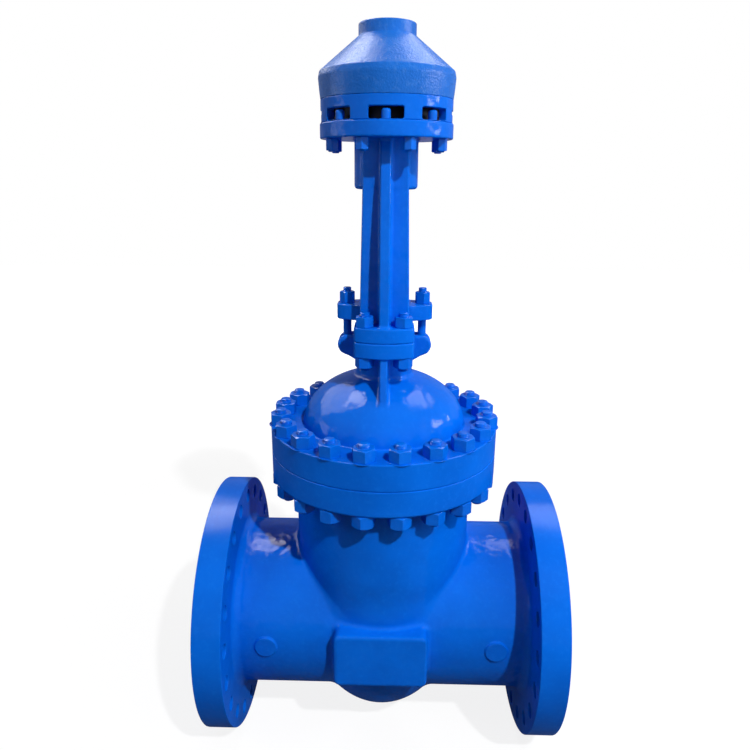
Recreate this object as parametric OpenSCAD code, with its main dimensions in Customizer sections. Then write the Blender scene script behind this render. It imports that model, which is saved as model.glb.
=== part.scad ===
// Cast steel gate valve, NPS 16 size, flanged ends, bolted bonnet, outside yoke
// and a bearing housing on top. Wedge and stem stand in the closed position.
// The origin is the centre of the left end-flange face. +X runs along the pipe,
// -Y is the front and +Z is up. Lengths are millimetres. Every module below
// measures from the middle of the valve and on_pipe() carries it to the origin.

/* [Body] */
// Length from end-flange face to end-flange face
face_to_face = 872; // [852:4:960]
// Outside diameter of the two necks
neck_d = 424; // [414:1:430]
// Wall of the necks round the ports
neck_wall = 21.5; // [20:0.5:30]
// Clearance between the wedge's rim and the bowl's wall
wedge_to_bowl = 4.5; // [3:0.5:14]
// Widening of the bowl from the pipe axis up to the bonnet flange
bowl_flare = 16; // [8:1:18]
// Straight stretch by which the bowl is deeper than it is wide, each way
bowl_oval = 16; // [8:1:20]
// Depth of the bowl's round bottom under the pipe axis
bowl_bottom = 280; // [262:2:300]
// Wall of the bowl
bowl_wall = 17; // [14:1:24]
// Width of the flat panel on the front and the rear of the bowl
panel_w = 222; // [160:2:230]
// Height of the panel
panel_h = 142; // [100:2:150]
// Radius of the panel's four corners
panel_corner = 14; // [4:1:30]
// Height by which the panel stands out of the bowl
panel_proud = 27; // [22:1:36]
// Diameter of the round bosses on the necks
boss_d = 58; // [40:1:64]
// Distance from an end flange's back to the middle of the boss beside it
boss_inset = 82; // [70:1:90]
// Height by which the bosses stand out of the necks
boss_proud = 6; // [3:1:12]

/* [End flanges] */
// Outside diameter of an end flange
end_flange_d = 648; // [640:2:680]
// Thickness of an end flange with its raised face
end_flange_t = 70.8; // [56:0.2:80]
// Width of the ring between the rim and the raised face
raised_face_margin = 89; // [80:1:96]
// Height of the raised face
raised_face_h = 2; // [1:0.5:6]
// Distance from the rim to the middle of the bolt holes
end_bolt_margin = 38.25; // [34:0.25:44]
// Diameter of the end-flange bolt holes
end_bolt_hole_d = 35; // [30:0.5:38]
// Number of bolts in an end flange
end_bolt_count = 20; // [16:4:24]
// Length of the flare where a neck meets its flange
flare_l = 24; // [16:1:34]
// Growth of the neck's radius over that flare
flare_r = 12; // [6:1:18]

/* [Bonnet joint] */
// Thickness of the body's and of the bonnet's flange
bonnet_flange_t = 63; // [54:1:70]
// Height of the parting line above the pipe axis
parting_z = 461; // [440:1:490]
// Thickness of the gasket in the parting line
gasket_t = 2; // [1:0.5:4]
// Distance from the bowl's wall out to the middle of the bonnet studs
stud_to_bowl = 33; // [31:1:40]
// Distance from the middle of the bonnet studs to the flange's rim
stud_to_rim = 25; // [22:1:36]
// Number of bonnet studs
bonnet_stud_count = 20; // [16:4:20]
// Diameter of the bonnet studs
bonnet_stud_d = 30; // [24:1:30]
// Width across flats of the bonnet nuts
bonnet_nut_af = 48; // [44:1:48]
// Height of the bonnet nuts
bonnet_nut_h = 30; // [24:1:34]
// Length of stud that stands out of a bonnet nut
bonnet_stud_proud = 10; // [4:1:16]

/* [Bonnet] */
// Distance from the middle of the bonnet studs to the foot of the dome
stud_to_dome = 53; // [44:1:60]
// Height of the dome
dome_h = 131; // [110:1:140]
// Radius of the fillet round the dome's foot
dome_fillet = 9; // [3:1:14]
// Wall of the bonnet
bonnet_wall = 20; // [14:1:26]
// Diameter of the stuffing box
box_d = 136; // [120:1:146]
// Height of the stuffing box between the dome and the top plate
box_h = 61; // [50:0.5:80]
// Diameter of the top plate and of the yoke's feet
plate_d = 272; // [262:1:290]
// Width of the top plate and of the yoke's feet, where both are trimmed flat
plate_w = 138; // [124:1:146]
// Thickness of the top plate
plate_t = 36.5; // [28:0.5:44]
// Thickness of the front and the rear rib
rib_t = 18; // [12:1:24]
// Distance from the top plate's rim back to a rib's edge
rib_inset = 6; // [2:1:20]
// Distance by which a rib's foot stands outside its top
rib_lean = 20; // [0:1:24]

/* [Gland] */
// Distance from the top plate's flat side to the eyebolts
eyebolt_gap = 21; // [20:0.5:26]
// Diameter of the eyebolts
eyebolt_d = 20; // [16:1:20]
// Diameter of the eyebolts' pins
eyebolt_pin_d = 16; // [12:1:18]
// Height of the lobes that carry the eyebolts
lobe_h = 53; // [50:1:60]
// Step from the top plate's top down to the lobes
lobe_step = 5; // [4:0.5:16]
// Width of the lobes along their pins
lobe_w = 52; // [46:1:60]
// Distance from the eyebolts to the ends of the lobes and of the gland flange
lobe_end = 23.5; // [22:0.5:30]
// Distance from the top plate up to the gland flange
gland_lift = 31.5; // [18:0.5:34]
// Thickness of the gland flange
gland_t = 36.5; // [30:1:50]
// Width of the gland flange at its ends
gland_end_w = 60; // [50:1:70]
// Cut off each of its four end corners
gland_corner = 11; // [4:1:18]
// Outside diameter of the packing
packing_d = 84; // [74:1:88]
// Depth by which the follower reaches into the stuffing box
follower_depth = 50; // [30:1:60]
// Width across flats of the gland nuts
gland_nut_af = 32; // [28:1:34]
// Height of the gland nuts
gland_nut_h = 27; // [18:1:30]
// Length of eyebolt that stands out of its nut
eyebolt_proud = 12; // [4:1:24]

/* [Yoke] */
// Thickness of the yoke's feet
foot_t = 34.5; // [24:0.5:44]
// Gap between the front and the rear foot
foot_gap = 104; // [100:1:116]
// Height of the window between the feet and the hub
window_clear = 298; // [280:1:340]
// Width across the pipe of an arm at its foot
arm_w_foot = 113; // [90:1:122]
// Width of an arm at the hub
arm_w_hub = 100; // [84:1:116]
// Thickness of an arm's plate
arm_t = 20; // [14:1:26]
// Thickness of the web along the middle of an arm
web_t = 22; // [14:1:30]
// Distance from the foot's rim back to the web
web_inset_foot = 8; // [4:1:16]
// Distance from the top flange's rim back to the web
web_inset_top = 36; // [24:1:44]
// Diameter of the hub
hub_d = 144; // [136:1:152]
// Height of the hub under the top flange
hub_h = 106.6; // [80:0.1:130]
// Diameter of the yoke's top flange
top_flange_d = 297; // [290:1:310]
// Thickness of the yoke's top flange
top_flange_t = 33; // [24:1:40]
// Distance from the feet's flat side to the middle of their studs
foot_stud_side = 25; // [23:1:28]
// Distance from the feet's rim to the middle of their studs
foot_stud_rim = 31; // [29:1:34]
// Diameter of the studs in the feet
foot_stud_d = 24; // [18:1:24]
// Width across flats of the feet's nuts
foot_nut_af = 39; // [32:1:40]
// Height of the feet's nuts
foot_nut_h = 24; // [18:1:26]
// Length of stud that stands out of a foot nut
foot_stud_proud = 9; // [4:1:12]

/* [Stem] */
// Diameter of the stem
stem_d = 52; // [44:1:56]
// Radial clearance of the stem in its bores
stem_gap = 0.5; // [0.2:0.1:1.5]
// Depth of the stem's end under the top of the collar
stem_recess = 18; // [6:1:60]
// Wall of the bronze nut round the stem
stem_nut_wall = 22; // [14:1:24]
// Gap between the thrust bearing and the ring round it
bearing_gap = 6; // [3:1:12]

/* [Bearing housing] */
// Step from the yoke's top flange in to the windowed ring
lantern_step = 2; // [0:0.5:5]
// Wall of the windowed ring
lantern_wall = 20; // [14:1:24]
// Height of the windowed ring
lantern_h = 48.7; // [42:0.1:60]
// Number of windows
window_count = 8; // [6:1:8]
// Width of a window
window_w = 73; // [50:1:80]
// Height of a window
window_h = 24.5; // [18:0.5:28]
// Radius of a window's corners
window_corner = 4; // [1:0.5:6]
// Sill of a window above the yoke's top flange
window_sill = 1.5; // [1:0.5:6]
// Diameter of the round-topped studs in the windows
window_stud_d = 19; // [14:1:20]
// Height of those studs
window_stud_h = 20; // [12:1:22]
// Growth of the cover's radius over the windowed ring's
cover_step = 4.5; // [2:0.5:9]
// Height of the cover's round wall
cover_wall_h = 56.7; // [40:0.1:66]
// Height of the cover's cone
cone_h = 71; // [50:1:90]
// Diameter of the collar on top
collar_d = 125; // [104:1:130]
// Height of that collar
collar_h = 25.4; // [12:0.1:40]
// Thickness of the cover's shell
cover_t = 12; // [8:1:16]
// Radial clearance of the stem in the collar
collar_gap = 7; // [3:1:12]
// Distance from the top flange's rim to the middle of its bolts
cover_bolt_margin = 20.5; // [18:0.5:24]
// Number of bolts under the top flange
cover_bolt_count = 8; // [6:1:8]
// Diameter of those bolts
cover_bolt_d = 18; // [12:1:18]
// Width across flats of their nuts
cover_nut_af = 25; // [24:1:30]
// Height of their nuts
cover_nut_h = 25; // [14:1:26]
// Length of bolt that stands out of such a nut
cover_bolt_proud = 3; // [1:1:8]

/* [Hidden] */

$fn = 96;

// Half the angle between two corners of a hexagon
hex_half_angle = 30;
// Distance from a hexagon's middle to a corner, for a width across flats of 1
hex_reach = 1 / (2 * cos(hex_half_angle));
// Clearance of a stud or bolt in a drilled hole, on the diameter
hole_gap = 3;
// Clearance of a nut's or an eye's bore on what passes through it, on the diameter
thread_gap = 0.6;
// Clearance between machined faces that meet
face_gap = 0.3;
// Clearance beside a piece that swings or slides
side_gap = 1;
// Overlap that fuses two solids of one piece
fuse = 4;
// Length that carries a cut clear through a face
past = 2;
// How far the lobes' underside drops towards the top plate
lobe_haunch = 9;
// Height of each race of the thrust bearing, how far the cage lies in, and the room above
race_h = 12;
cage_inset = 6;
bearing_room = 9;
// How far the stem's head lies below the top of the wedge's slot
stem_head_drop = 30;
// Small chamfer on a flange's rim
rim_chamfer = 2;
// Turned pieces that repeat use this many sides
small_fn = 48;

// Colours of the finishes
blue = [0.05, 0.35, 0.80];
steel = [0.62, 0.63, 0.65];
bronze = [0.72, 0.53, 0.27];
graphite = [0.16, 0.16, 0.17];

// Pipe ends
half_l = face_to_face / 2;
neck_r = neck_d / 2;
port_r = neck_r - neck_wall;
end_flange_r = end_flange_d / 2;
raised_face_r = end_flange_r - raised_face_margin;
end_bolt_r = end_flange_r - end_bolt_margin;
end_back_x = half_l - end_flange_t;
boss_x = end_back_x - boss_inset;

// Seats, and the wedge whose rim sets the size of the bowl
seat_tilt = 5;
seat_x = 60;
seat_ring_t = 18;
seat_land = 14;
seat_bore_r = port_r + 2 * side_gap;
seat_r = port_r + seat_land;
seat_back_x = seat_x + tan(seat_tilt) * seat_r + seat_ring_t;
wedge_r = seat_r - 3 * side_gap;
bowl_r = wedge_r + wedge_to_bowl + bowl_wall - bowl_oval;

// Bonnet joint
bowl_top_r = bowl_r + bowl_flare;
bonnet_stud_r = bowl_top_r + stud_to_bowl;
bonnet_flange_r = bonnet_stud_r + stud_to_rim;
body_flange_top_z = parting_z - gasket_t / 2;
body_flange_z = body_flange_top_z - bonnet_flange_t;
bonnet_z = parting_z + gasket_t / 2;
bonnet_top_z = bonnet_z + bonnet_flange_t;
nut_room_r = bonnet_stud_r - bonnet_nut_af * hex_reach - side_gap;
nut_room_z = body_flange_z - bonnet_nut_h - bonnet_stud_proud - side_gap;
gasket_in_r = bowl_top_r + fuse;
gasket_out_r = bonnet_stud_r - bonnet_stud_d / 2 - fuse;

// Wedge's head and the T slot in it
wedge_head_h = 46;
wedge_top_z = wedge_r + wedge_head_h;
wedge_slot_w = 16;
stem_r = stem_d / 2;
stem_bore_r = stem_r + stem_gap;
stem_head_w = stem_d * 1.6;
stem_head_t = 22;
stem_head_z = wedge_top_z - stem_head_drop;

// Dome, top plate, feet and gland
dome_r = bonnet_stud_r - stud_to_dome;
dome_top_z = bonnet_top_z + dome_h;
plate_z = dome_top_z + box_h;
plate_top_z = plate_z + plate_t;
foot_top_z = plate_top_z + foot_t;
foot_stud_x = plate_w / 2 - foot_stud_side;
foot_stud_y = plate_d / 2 - foot_stud_rim;
eyebolt_x = plate_w / 2 + eyebolt_gap;
eye_r = eyebolt_d * 0.9;
lobe_half_l = eyebolt_x + lobe_end;
pin_z = plate_top_z - lobe_step - lobe_h / 2;
fork_w = eyebolt_d + 2 * side_gap;
packing_r = packing_d / 2;
box_floor_z = dome_top_z - bonnet_wall + past;
gland_z = plate_top_z + gland_lift;
gland_top_z = gland_z + gland_t;
gland_w = foot_gap - 8 * side_gap;
follower_z = plate_top_z - follower_depth;
follower_rim_h = gland_lift * 3 / 4;

// Yoke
hub_z = foot_top_z + window_clear;
top_flange_z = hub_z + hub_h;
housing_z = top_flange_z + top_flange_t;
top_flange_r = top_flange_d / 2;
arm_y_foot = foot_stud_y - foot_nut_af * hex_reach - 2 * side_gap;
arm_y_hub = hub_d / 2;
web_y_foot = plate_d / 2 - web_inset_foot;
web_y_top = top_flange_r - web_inset_top;
stem_nut_r = stem_r + stem_nut_wall;
bearing_in_r = stem_nut_r + stem_nut_wall + stem_gap;
cover_bolt_r = top_flange_r - cover_bolt_margin;

// Bearing housing
lantern_r = top_flange_r - lantern_step;
bearing_r = lantern_r - lantern_wall - bearing_gap;
bearing_h = lantern_h - bearing_room;
seam_z = housing_z + lantern_h;
cover_r = lantern_r + cover_step;
collar_r = collar_d / 2;
collar_top_z = seam_z + cover_wall_h + cone_h + collar_h;

// Carries a piece from the middle of the valve to the part's origin
module on_pipe() {
    translate([half_l, 0, 0]) children();
}

// Copies a piece round the stem axis, straddling the front, at the given height
module round_stem(count, radius, z) {
    for (i = [0 : count - 1]) rotate(360 / count * (i + 0.5) - 90) translate([radius, 0, z]) children();
}

// Copies a piece round the stem axis, one of them right in front, at the given height
module round_front(count, radius, z) {
    for (i = [0 : count - 1]) rotate(360 / count * i - 90) translate([radius, 0, z]) children();
}

// Copies a piece to the four studs of the yoke's feet, at the given height
module at_foot_studs(z) {
    for (x = [-1, 1], y = [-1, 1]) translate([x * foot_stud_x, y * foot_stud_y, z]) children();
}

// Copies a piece to the two eyebolts, at the given height
module at_eyebolts(z) {
    for (side = [-1, 1]) translate([side * eyebolt_x, 0, z]) children();
}

// A cylinder whose axis runs along the pipe, from x0 to x1
module along_pipe(r, x0, x1) {
    translate([x0, 0, 0]) rotate([0, 90, 0]) cylinder(r = r, h = x1 - x0);
}

// A cylinder centred on a pin's axis, which runs from front to rear
module along_pin(d, l) {
    rotate([90, 0, 0]) cylinder(d = d, h = l, center = true);
}

// A rectangle with round corners
module rounded_panel(w, h, corner) {
    square([w, h - 2 * corner], center = true);
    square([w - 2 * corner, h], center = true);
    for (x = [-1, 1], y = [-1, 1])
        translate([x * (w / 2 - corner), y * (h / 2 - corner)]) circle(r = corner, $fn = small_fn);
}

// A hexagon nut, chamfered at both ends, with its bore, standing on z = 0
module hex_nut(af, h, bore_d) {
    corner_r = af * hex_reach;
    bevel = (corner_r - af / 2) * 0.6;
    difference() {
        intersection() {
            cylinder(r = corner_r, h = h, $fn = 6);
            rotate_extrude($fn = small_fn) polygon([
                [0, 0], [af / 2, 0], [corner_r + face_gap, bevel],
                [corner_r + face_gap, h - bevel], [af / 2, h], [0, h]
            ]);
        }
        translate([0, 0, -past]) cylinder(d = bore_d + thread_gap, h = h + 2 * past, $fn = small_fn);
    }
}

// A plain stud with chamfered ends, from z0 to z1
module stud(d, z0, z1) {
    tip = d / 10;
    translate([0, 0, z0]) rotate_extrude($fn = small_fn) polygon([
        [0, 0], [d / 2 - tip, 0], [d / 2, tip], [d / 2, z1 - z0 - tip], [d / 2 - tip, z1 - z0], [0, z1 - z0]
    ]);
}

// ---- Body ----

// Half profile of the bowl, shrunk by inset: round bottom, then a flaring wall
function bowl_points(inset, top_z) = concat(
    [for (i = [0 : 18]) let (a = 90 / 18 * i)
        [(bowl_r - inset) * sin(a), -(bowl_bottom - inset) * cos(a)]],
    [[bowl_r - inset + bowl_flare * top_z / body_flange_z, top_z], [0, top_z]]
);

// The oval bowl: two half turns of the profile with a straight stretch between them,
// drawn in towards the top so that the lower nuts have room in front and behind
module bowl(inset, top_z) {
    wide_r = bowl_top_r + bowl_oval - inset;
    room_r = nut_room_r - inset;
    low_z = -bowl_bottom - past;
    intersection() {
        union() {
            for (side = [0, 1]) rotate(180 * side) translate([0, bowl_oval, 0])
                rotate_extrude(angle = 180) polygon(bowl_points(inset, top_z));
            rotate([90, 0, 0]) linear_extrude(2 * bowl_oval, center = true) for (side = [0, 1])
                mirror([side, 0]) polygon(bowl_points(inset, top_z));
        }
        rotate_extrude() polygon([
            [0, low_z], [wide_r, low_z], [wide_r, 0], [room_r, nut_room_z], [room_r, top_z], [0, top_z]
        ]);
    }
}

// Neck, flare, flange and raised face on the right, as one turned profile
module pipe_end() {
    rotate([0, 90, 0]) rotate_extrude() polygon(concat(
        [[0, 0], [neck_r, 0]],
        [for (i = [0 : 6]) let (a = 90 / 6 * i)
            [neck_r + flare_r * (1 - cos(a)), end_back_x - flare_l + flare_l * sin(a)]],
        [
            [end_flange_r - rim_chamfer, end_back_x], [end_flange_r, end_back_x + rim_chamfer],
            [end_flange_r, half_l - raised_face_h - rim_chamfer],
            [end_flange_r - rim_chamfer, half_l - raised_face_h],
            [raised_face_r, half_l - raised_face_h], [raised_face_r, half_l], [0, half_l]
        ]
    ));
}

// The two tilted planes between which the wedge slides
module wedge_space(half_w, low_z, high_z) {
    slope = tan(seat_tilt);
    rotate([90, 0, 0]) linear_extrude(4 * wedge_r, center = true) polygon([
        [-half_w - slope * low_z, low_z], [half_w + slope * low_z, low_z],
        [half_w + slope * high_z, high_z], [-half_w - slope * high_z, high_z]
    ]);
}

// A tube's envelope on the right whose inner face is tilted to the wedge
module tilted_tube(r, x_out) {
    difference() {
        along_pipe(r, 0, x_out);
        wedge_space(seat_x, -r - past, r + past);
    }
}

// The casting's outside
module body_outside() {
    bowl(0, body_flange_z + fuse);
    translate([0, 0, body_flange_z]) cylinder(r = bonnet_flange_r, h = bonnet_flange_t);
    for (side = [0, 1]) mirror([side, 0, 0]) pipe_end();
    rotate([90, 0, 0]) linear_extrude(2 * (bowl_r + bowl_oval + panel_proud), center = true)
        rounded_panel(panel_w, panel_h, panel_corner);
    for (x = [-1, 1]) translate([x * boss_x, 0, 0]) along_pin(boss_d, 2 * (neck_r + boss_proud));
}

module body() color(blue) on_pipe() difference() {
    union() {
        difference() {
            body_outside();
            bowl(bowl_wall, body_flange_top_z + past);
        }
        for (side = [0, 1]) mirror([side, 0, 0]) tilted_tube(neck_r, bowl_r);
    }
    along_pipe(seat_r + face_gap, -seat_back_x, seat_back_x);
    along_pipe(port_r, -half_l - past, half_l + past);
    for (side = [0, 1], i = [0 : end_bolt_count - 1]) mirror([side, 0, 0])
        rotate([360 / end_bolt_count * (i + 0.5), 0, 0]) translate([0, end_bolt_r, 0])
            along_pipe(end_bolt_hole_d / 2, end_back_x - flare_l, half_l + past);
    round_stem(bonnet_stud_count, bonnet_stud_r, body_flange_z - past)
        cylinder(d = bonnet_stud_d + hole_gap, h = bonnet_flange_t + 2 * past);
}

module seat_ring() color(steel) difference() {
    tilted_tube(seat_r, seat_back_x - face_gap);
    along_pipe(seat_bore_r, -past, seat_back_x + past);
}

module seat_ring_left() on_pipe() mirror([1, 0, 0]) seat_ring();

module seat_ring_right() on_pipe() seat_ring();

// A flexible wedge: two tilted discs on a core, with a T slot on top for the stem's head
module wedge() color(steel) on_pipe() difference() {
    half = stem_head_w / 2;
    intersection() {
        union() {
            along_pipe(wedge_r, -2 * seat_x, 2 * seat_x);
            translate([-half, -half, 0]) cube([2 * half, 2 * half, wedge_top_z]);
        }
        wedge_space(seat_x - face_gap, -wedge_r - past, wedge_top_z + past);
    }
    difference() {
        along_pipe(wedge_r + past, -wedge_slot_w / 2, wedge_slot_w / 2);
        along_pipe(wedge_r / 2, -wedge_slot_w, wedge_slot_w);
        translate([-half, -half, 0]) cube([2 * half, 2 * half, wedge_top_z + past]);
    }
    translate([-2 * seat_x, -half / 2 - side_gap, stem_head_z - side_gap])
        cube([4 * seat_x, half + 2 * side_gap, stem_head_t + 2 * side_gap]);
    translate([-2 * seat_x, -stem_r - side_gap, stem_head_z])
        cube([4 * seat_x, stem_d + 2 * side_gap, wedge_head_h + wedge_r]);
}

module stem() color(steel) on_pipe() {
    translate([0, 0, stem_head_z + stem_head_t / 2])
        cube([stem_head_w - 2 * fuse, stem_head_w / 2, stem_head_t], center = true);
    stud(stem_d, stem_head_z + fuse, collar_top_z - stem_recess);
}

// ---- Bonnet ----

module bonnet_gasket() color(graphite) on_pipe() translate([0, 0, parting_z - gasket_t / 2]) difference() {
    cylinder(r = gasket_out_r, h = gasket_t);
    translate([0, 0, -past]) cylinder(r = gasket_in_r, h = gasket_t + 2 * past);
}

// Half profile of the dome above a foot of the given height, shrunk by inset
function dome_arc(inset, foot_h) = [for (i = [0 : 16]) let (a = 90 / 16 * i)
    [(dome_r - inset) * cos(a), foot_h + (dome_h - inset - foot_h) * sin(a)]];

// The dome's outside, with a fillet round its foot
function dome_outside() = concat(
    [[0, -fuse], [dome_r + dome_fillet, -fuse], [dome_r + dome_fillet, 0]],
    [for (i = [1 : 2]) let (a = 90 / 3 * i)
        [dome_r + dome_fillet * (1 - sin(a)), dome_fillet * (1 - cos(a))]],
    dome_arc(0, dome_fillet)
);

// The dome's hollow
function dome_inside() = concat([[0, -fuse], [dome_r - bonnet_wall, -fuse]], dome_arc(bonnet_wall, 0));

// Outline of the top plate: a disc trimmed flat on the left and the right
module plate_outline() {
    intersection() {
        circle(d = plate_d);
        square([plate_w, plate_d], center = true);
    }
}

// The lobes that carry the eyebolts, seen from the front: one bar with round ends
module lobe_outline() {
    reach = lobe_half_l - lobe_h / 2;
    translate([0, pin_z]) {
        square([2 * reach, lobe_h], center = true);
        for (x = [-1, 1]) translate([x * reach, 0]) circle(d = lobe_h);
        for (side = [0, 1]) mirror([side, 0]) polygon([
            [0, 0], [reach + lobe_h / 5, 0], [reach + lobe_h / 5, -lobe_h / 4],
            [plate_w / 2, -lobe_h / 2 - lobe_haunch], [0, -lobe_h / 2 - lobe_haunch]
        ]);
    }
}

// A rib seen from the side: from the stuffing box out to a leaning edge
module rib_outline() {
    top_y = plate_d / 2 - rib_inset;
    foot_y = top_y + rib_lean;
    foot_z = bonnet_top_z + dome_h * sqrt(1 - pow(foot_y / dome_r, 2));
    polygon([
        [0, foot_z - dome_h / 4], [foot_y, foot_z - dome_h / 4], [foot_y, foot_z + fuse],
        [top_y, plate_z + fuse], [0, plate_z + fuse]
    ]);
}

module bonnet_outside() {
    translate([0, 0, bonnet_z]) cylinder(r = bonnet_flange_r, h = bonnet_flange_t);
    translate([0, 0, bonnet_top_z]) rotate_extrude() polygon(dome_outside());
    translate([0, 0, bonnet_top_z]) cylinder(d = box_d, h = plate_z + fuse - bonnet_top_z);
    translate([0, 0, plate_z]) linear_extrude(plate_t) plate_outline();
    rotate([90, 0, 0]) linear_extrude(lobe_w, center = true) lobe_outline();
    for (side = [0, 1]) mirror([0, side, 0]) rotate([90, 0, -90])
        linear_extrude(rib_t, center = true) rib_outline();
}

module bonnet() color(blue) on_pipe() difference() {
    bonnet_outside();
    translate([0, 0, bonnet_top_z]) rotate_extrude() polygon(dome_inside());
    translate([0, 0, bonnet_z - past]) cylinder(r = dome_r - bonnet_wall, h = bonnet_flange_t);
    translate([0, 0, bonnet_z]) cylinder(r = stem_bore_r, h = plate_top_z);
    translate([0, 0, box_floor_z]) cylinder(r = packing_r, h = plate_top_z);
    for (side = [0, 1]) mirror([side, 0, 0])
        translate([eyebolt_x - eye_r - side_gap, -fork_w / 2, pin_z - lobe_h])
            cube([lobe_half_l, fork_w, 2 * lobe_h]);
    at_eyebolts(pin_z) along_pin(eyebolt_pin_d + thread_gap, lobe_w + 2 * past);
    at_foot_studs(plate_z - past) cylinder(d = foot_stud_d + hole_gap, h = plate_t + 2 * past);
    round_stem(bonnet_stud_count, bonnet_stud_r, bonnet_z - past)
        cylinder(d = bonnet_stud_d + hole_gap, h = bonnet_flange_t + 2 * past);
}

module bonnet_studs() color(blue) on_pipe() round_stem(bonnet_stud_count, bonnet_stud_r, 0)
    stud(bonnet_stud_d, body_flange_z - bonnet_nut_h - bonnet_stud_proud,
        bonnet_top_z + bonnet_nut_h + bonnet_stud_proud);

module bonnet_nuts_upper() color(blue) on_pipe() round_stem(bonnet_stud_count, bonnet_stud_r, bonnet_top_z)
    hex_nut(bonnet_nut_af, bonnet_nut_h, bonnet_stud_d);

module bonnet_nuts_lower() color(blue) on_pipe()
    round_stem(bonnet_stud_count, bonnet_stud_r, body_flange_z - bonnet_nut_h)
        hex_nut(bonnet_nut_af, bonnet_nut_h, bonnet_stud_d);

// ---- Gland ----

module packing() color(graphite) on_pipe() difference() {
    translate([0, 0, box_floor_z]) cylinder(r = packing_r - stem_gap / 2, h = follower_z - box_floor_z);
    translate([0, 0, bonnet_z]) cylinder(r = stem_r + stem_gap / 2, h = plate_top_z);
}

module gland_follower() color(steel) on_pipe() difference() {
    union() {
        translate([0, 0, follower_z]) cylinder(r = packing_r - stem_gap, h = gland_z - follower_z);
        translate([0, 0, gland_z - follower_rim_h]) cylinder(r = packing_r + fuse, h = follower_rim_h);
    }
    translate([0, 0, bonnet_z]) cylinder(r = stem_bore_r, h = gland_top_z);
}

// Plan of the gland flange: widest round the stem, with the four end corners cut off
module gland_outline() {
    middle = gland_w / 2;
    end_y = gland_end_w / 2;
    cut_x = lobe_half_l - gland_corner;
    cut_y = end_y - gland_corner;
    polygon([
        [-lobe_half_l, cut_y], [-cut_x, end_y], [-middle, middle],
        [middle, middle], [cut_x, end_y], [lobe_half_l, cut_y],
        [lobe_half_l, -cut_y], [cut_x, -end_y], [middle, -middle],
        [-middle, -middle], [-cut_x, -end_y], [-lobe_half_l, -cut_y]
    ]);
}

module gland_flange() color(blue) on_pipe() difference() {
    translate([0, 0, gland_z]) linear_extrude(gland_t) gland_outline();
    translate([0, 0, gland_z - past]) cylinder(r = stem_bore_r + stem_gap, h = gland_t + 2 * past);
    at_eyebolts(gland_z - past) cylinder(d = eyebolt_d + hole_gap, h = gland_t + 2 * past);
}

module gland_eyebolts() color(blue) on_pipe() at_eyebolts(0) difference() {
    union() {
        stud(eyebolt_d, pin_z, gland_top_z + gland_nut_h + eyebolt_proud);
        translate([0, 0, pin_z]) along_pin(2 * eye_r, eyebolt_d);
    }
    translate([0, 0, pin_z]) along_pin(eyebolt_pin_d + thread_gap, 2 * eyebolt_d);
}

module gland_pins() color(blue) on_pipe() at_eyebolts(pin_z) along_pin(eyebolt_pin_d, lobe_w);

module gland_nuts() color(blue) on_pipe() at_eyebolts(gland_top_z) rotate(30)
    hex_nut(gland_nut_af, gland_nut_h, eyebolt_d);

// ---- Yoke ----

module feet_outline() {
    difference() {
        plate_outline();
        square([plate_w + past, foot_gap], center = true);
    }
}

// The front arm: a tapered plate that leans inwards, with a web along its middle
module arm() {
    top_z = top_flange_z + fuse;
    foot_z = foot_top_z - fuse;
    intersection() {
        rotate([90, 0, 90]) linear_extrude(plate_w, center = true) polygon([
            [-arm_y_foot, foot_z], [-arm_y_foot + arm_t, foot_z], [-arm_y_hub + arm_t, hub_z],
            [-arm_y_hub + arm_t, top_z], [-arm_y_hub, top_z], [-arm_y_hub, hub_z]
        ]);
        rotate([90, 0, 0]) linear_extrude(plate_d, center = true) polygon([
            [-arm_w_foot / 2, foot_z], [arm_w_foot / 2, foot_z], [arm_w_hub / 2, hub_z],
            [arm_w_hub / 2, top_z], [-arm_w_hub / 2, top_z], [-arm_w_hub / 2, hub_z]
        ]);
    }
    rotate([90, 0, 90]) linear_extrude(web_t, center = true) polygon([
        [-web_y_foot, foot_z], [-arm_y_foot + fuse, foot_z], [-arm_y_hub + fuse, hub_z],
        [-arm_y_hub + fuse, top_z], [-web_y_top, top_z]
    ]);
}

module yoke() color(blue) on_pipe() difference() {
    union() {
        translate([0, 0, plate_top_z]) linear_extrude(foot_t) feet_outline();
        for (side = [0, 1]) mirror([0, side, 0]) arm();
        translate([0, 0, hub_z]) cylinder(d = hub_d, h = hub_h + fuse);
        translate([0, 0, top_flange_z]) cylinder(r = top_flange_r, h = top_flange_t);
    }
    translate([0, 0, hub_z - past]) cylinder(r = stem_nut_r, h = hub_h + top_flange_t + 2 * past);
    at_foot_studs(plate_top_z - past) cylinder(d = foot_stud_d + hole_gap, h = foot_t + 2 * past);
    round_stem(cover_bolt_count, cover_bolt_r, top_flange_z - past)
        cylinder(d = cover_bolt_d + hole_gap, h = top_flange_t + 2 * past);
}

module yoke_studs() color(blue) on_pipe() at_foot_studs(0)
    stud(foot_stud_d, plate_z - foot_nut_h - foot_stud_proud, foot_top_z + foot_nut_h + foot_stud_proud);

module yoke_nuts_upper() color(blue) on_pipe() at_foot_studs(foot_top_z)
    hex_nut(foot_nut_af, foot_nut_h, foot_stud_d);

module yoke_nuts_lower() color(blue) on_pipe() at_foot_studs(plate_z - foot_nut_h)
    hex_nut(foot_nut_af, foot_nut_h, foot_stud_d);

// ---- Drive ----

// The bronze nut in the hub, with a shoulder that rests on the yoke's top flange
module stem_nut() color(bronze) on_pipe() difference() {
    union() {
        translate([0, 0, hub_z + fuse]) cylinder(r = stem_nut_r - stem_gap / 2, h = seam_z - hub_z);
        translate([0, 0, housing_z]) cylinder(r = stem_nut_r + stem_nut_wall, h = lantern_h / 2);
    }
    translate([0, 0, hub_z]) cylinder(r = stem_r + stem_gap / 2, h = seam_z);
}

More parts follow.
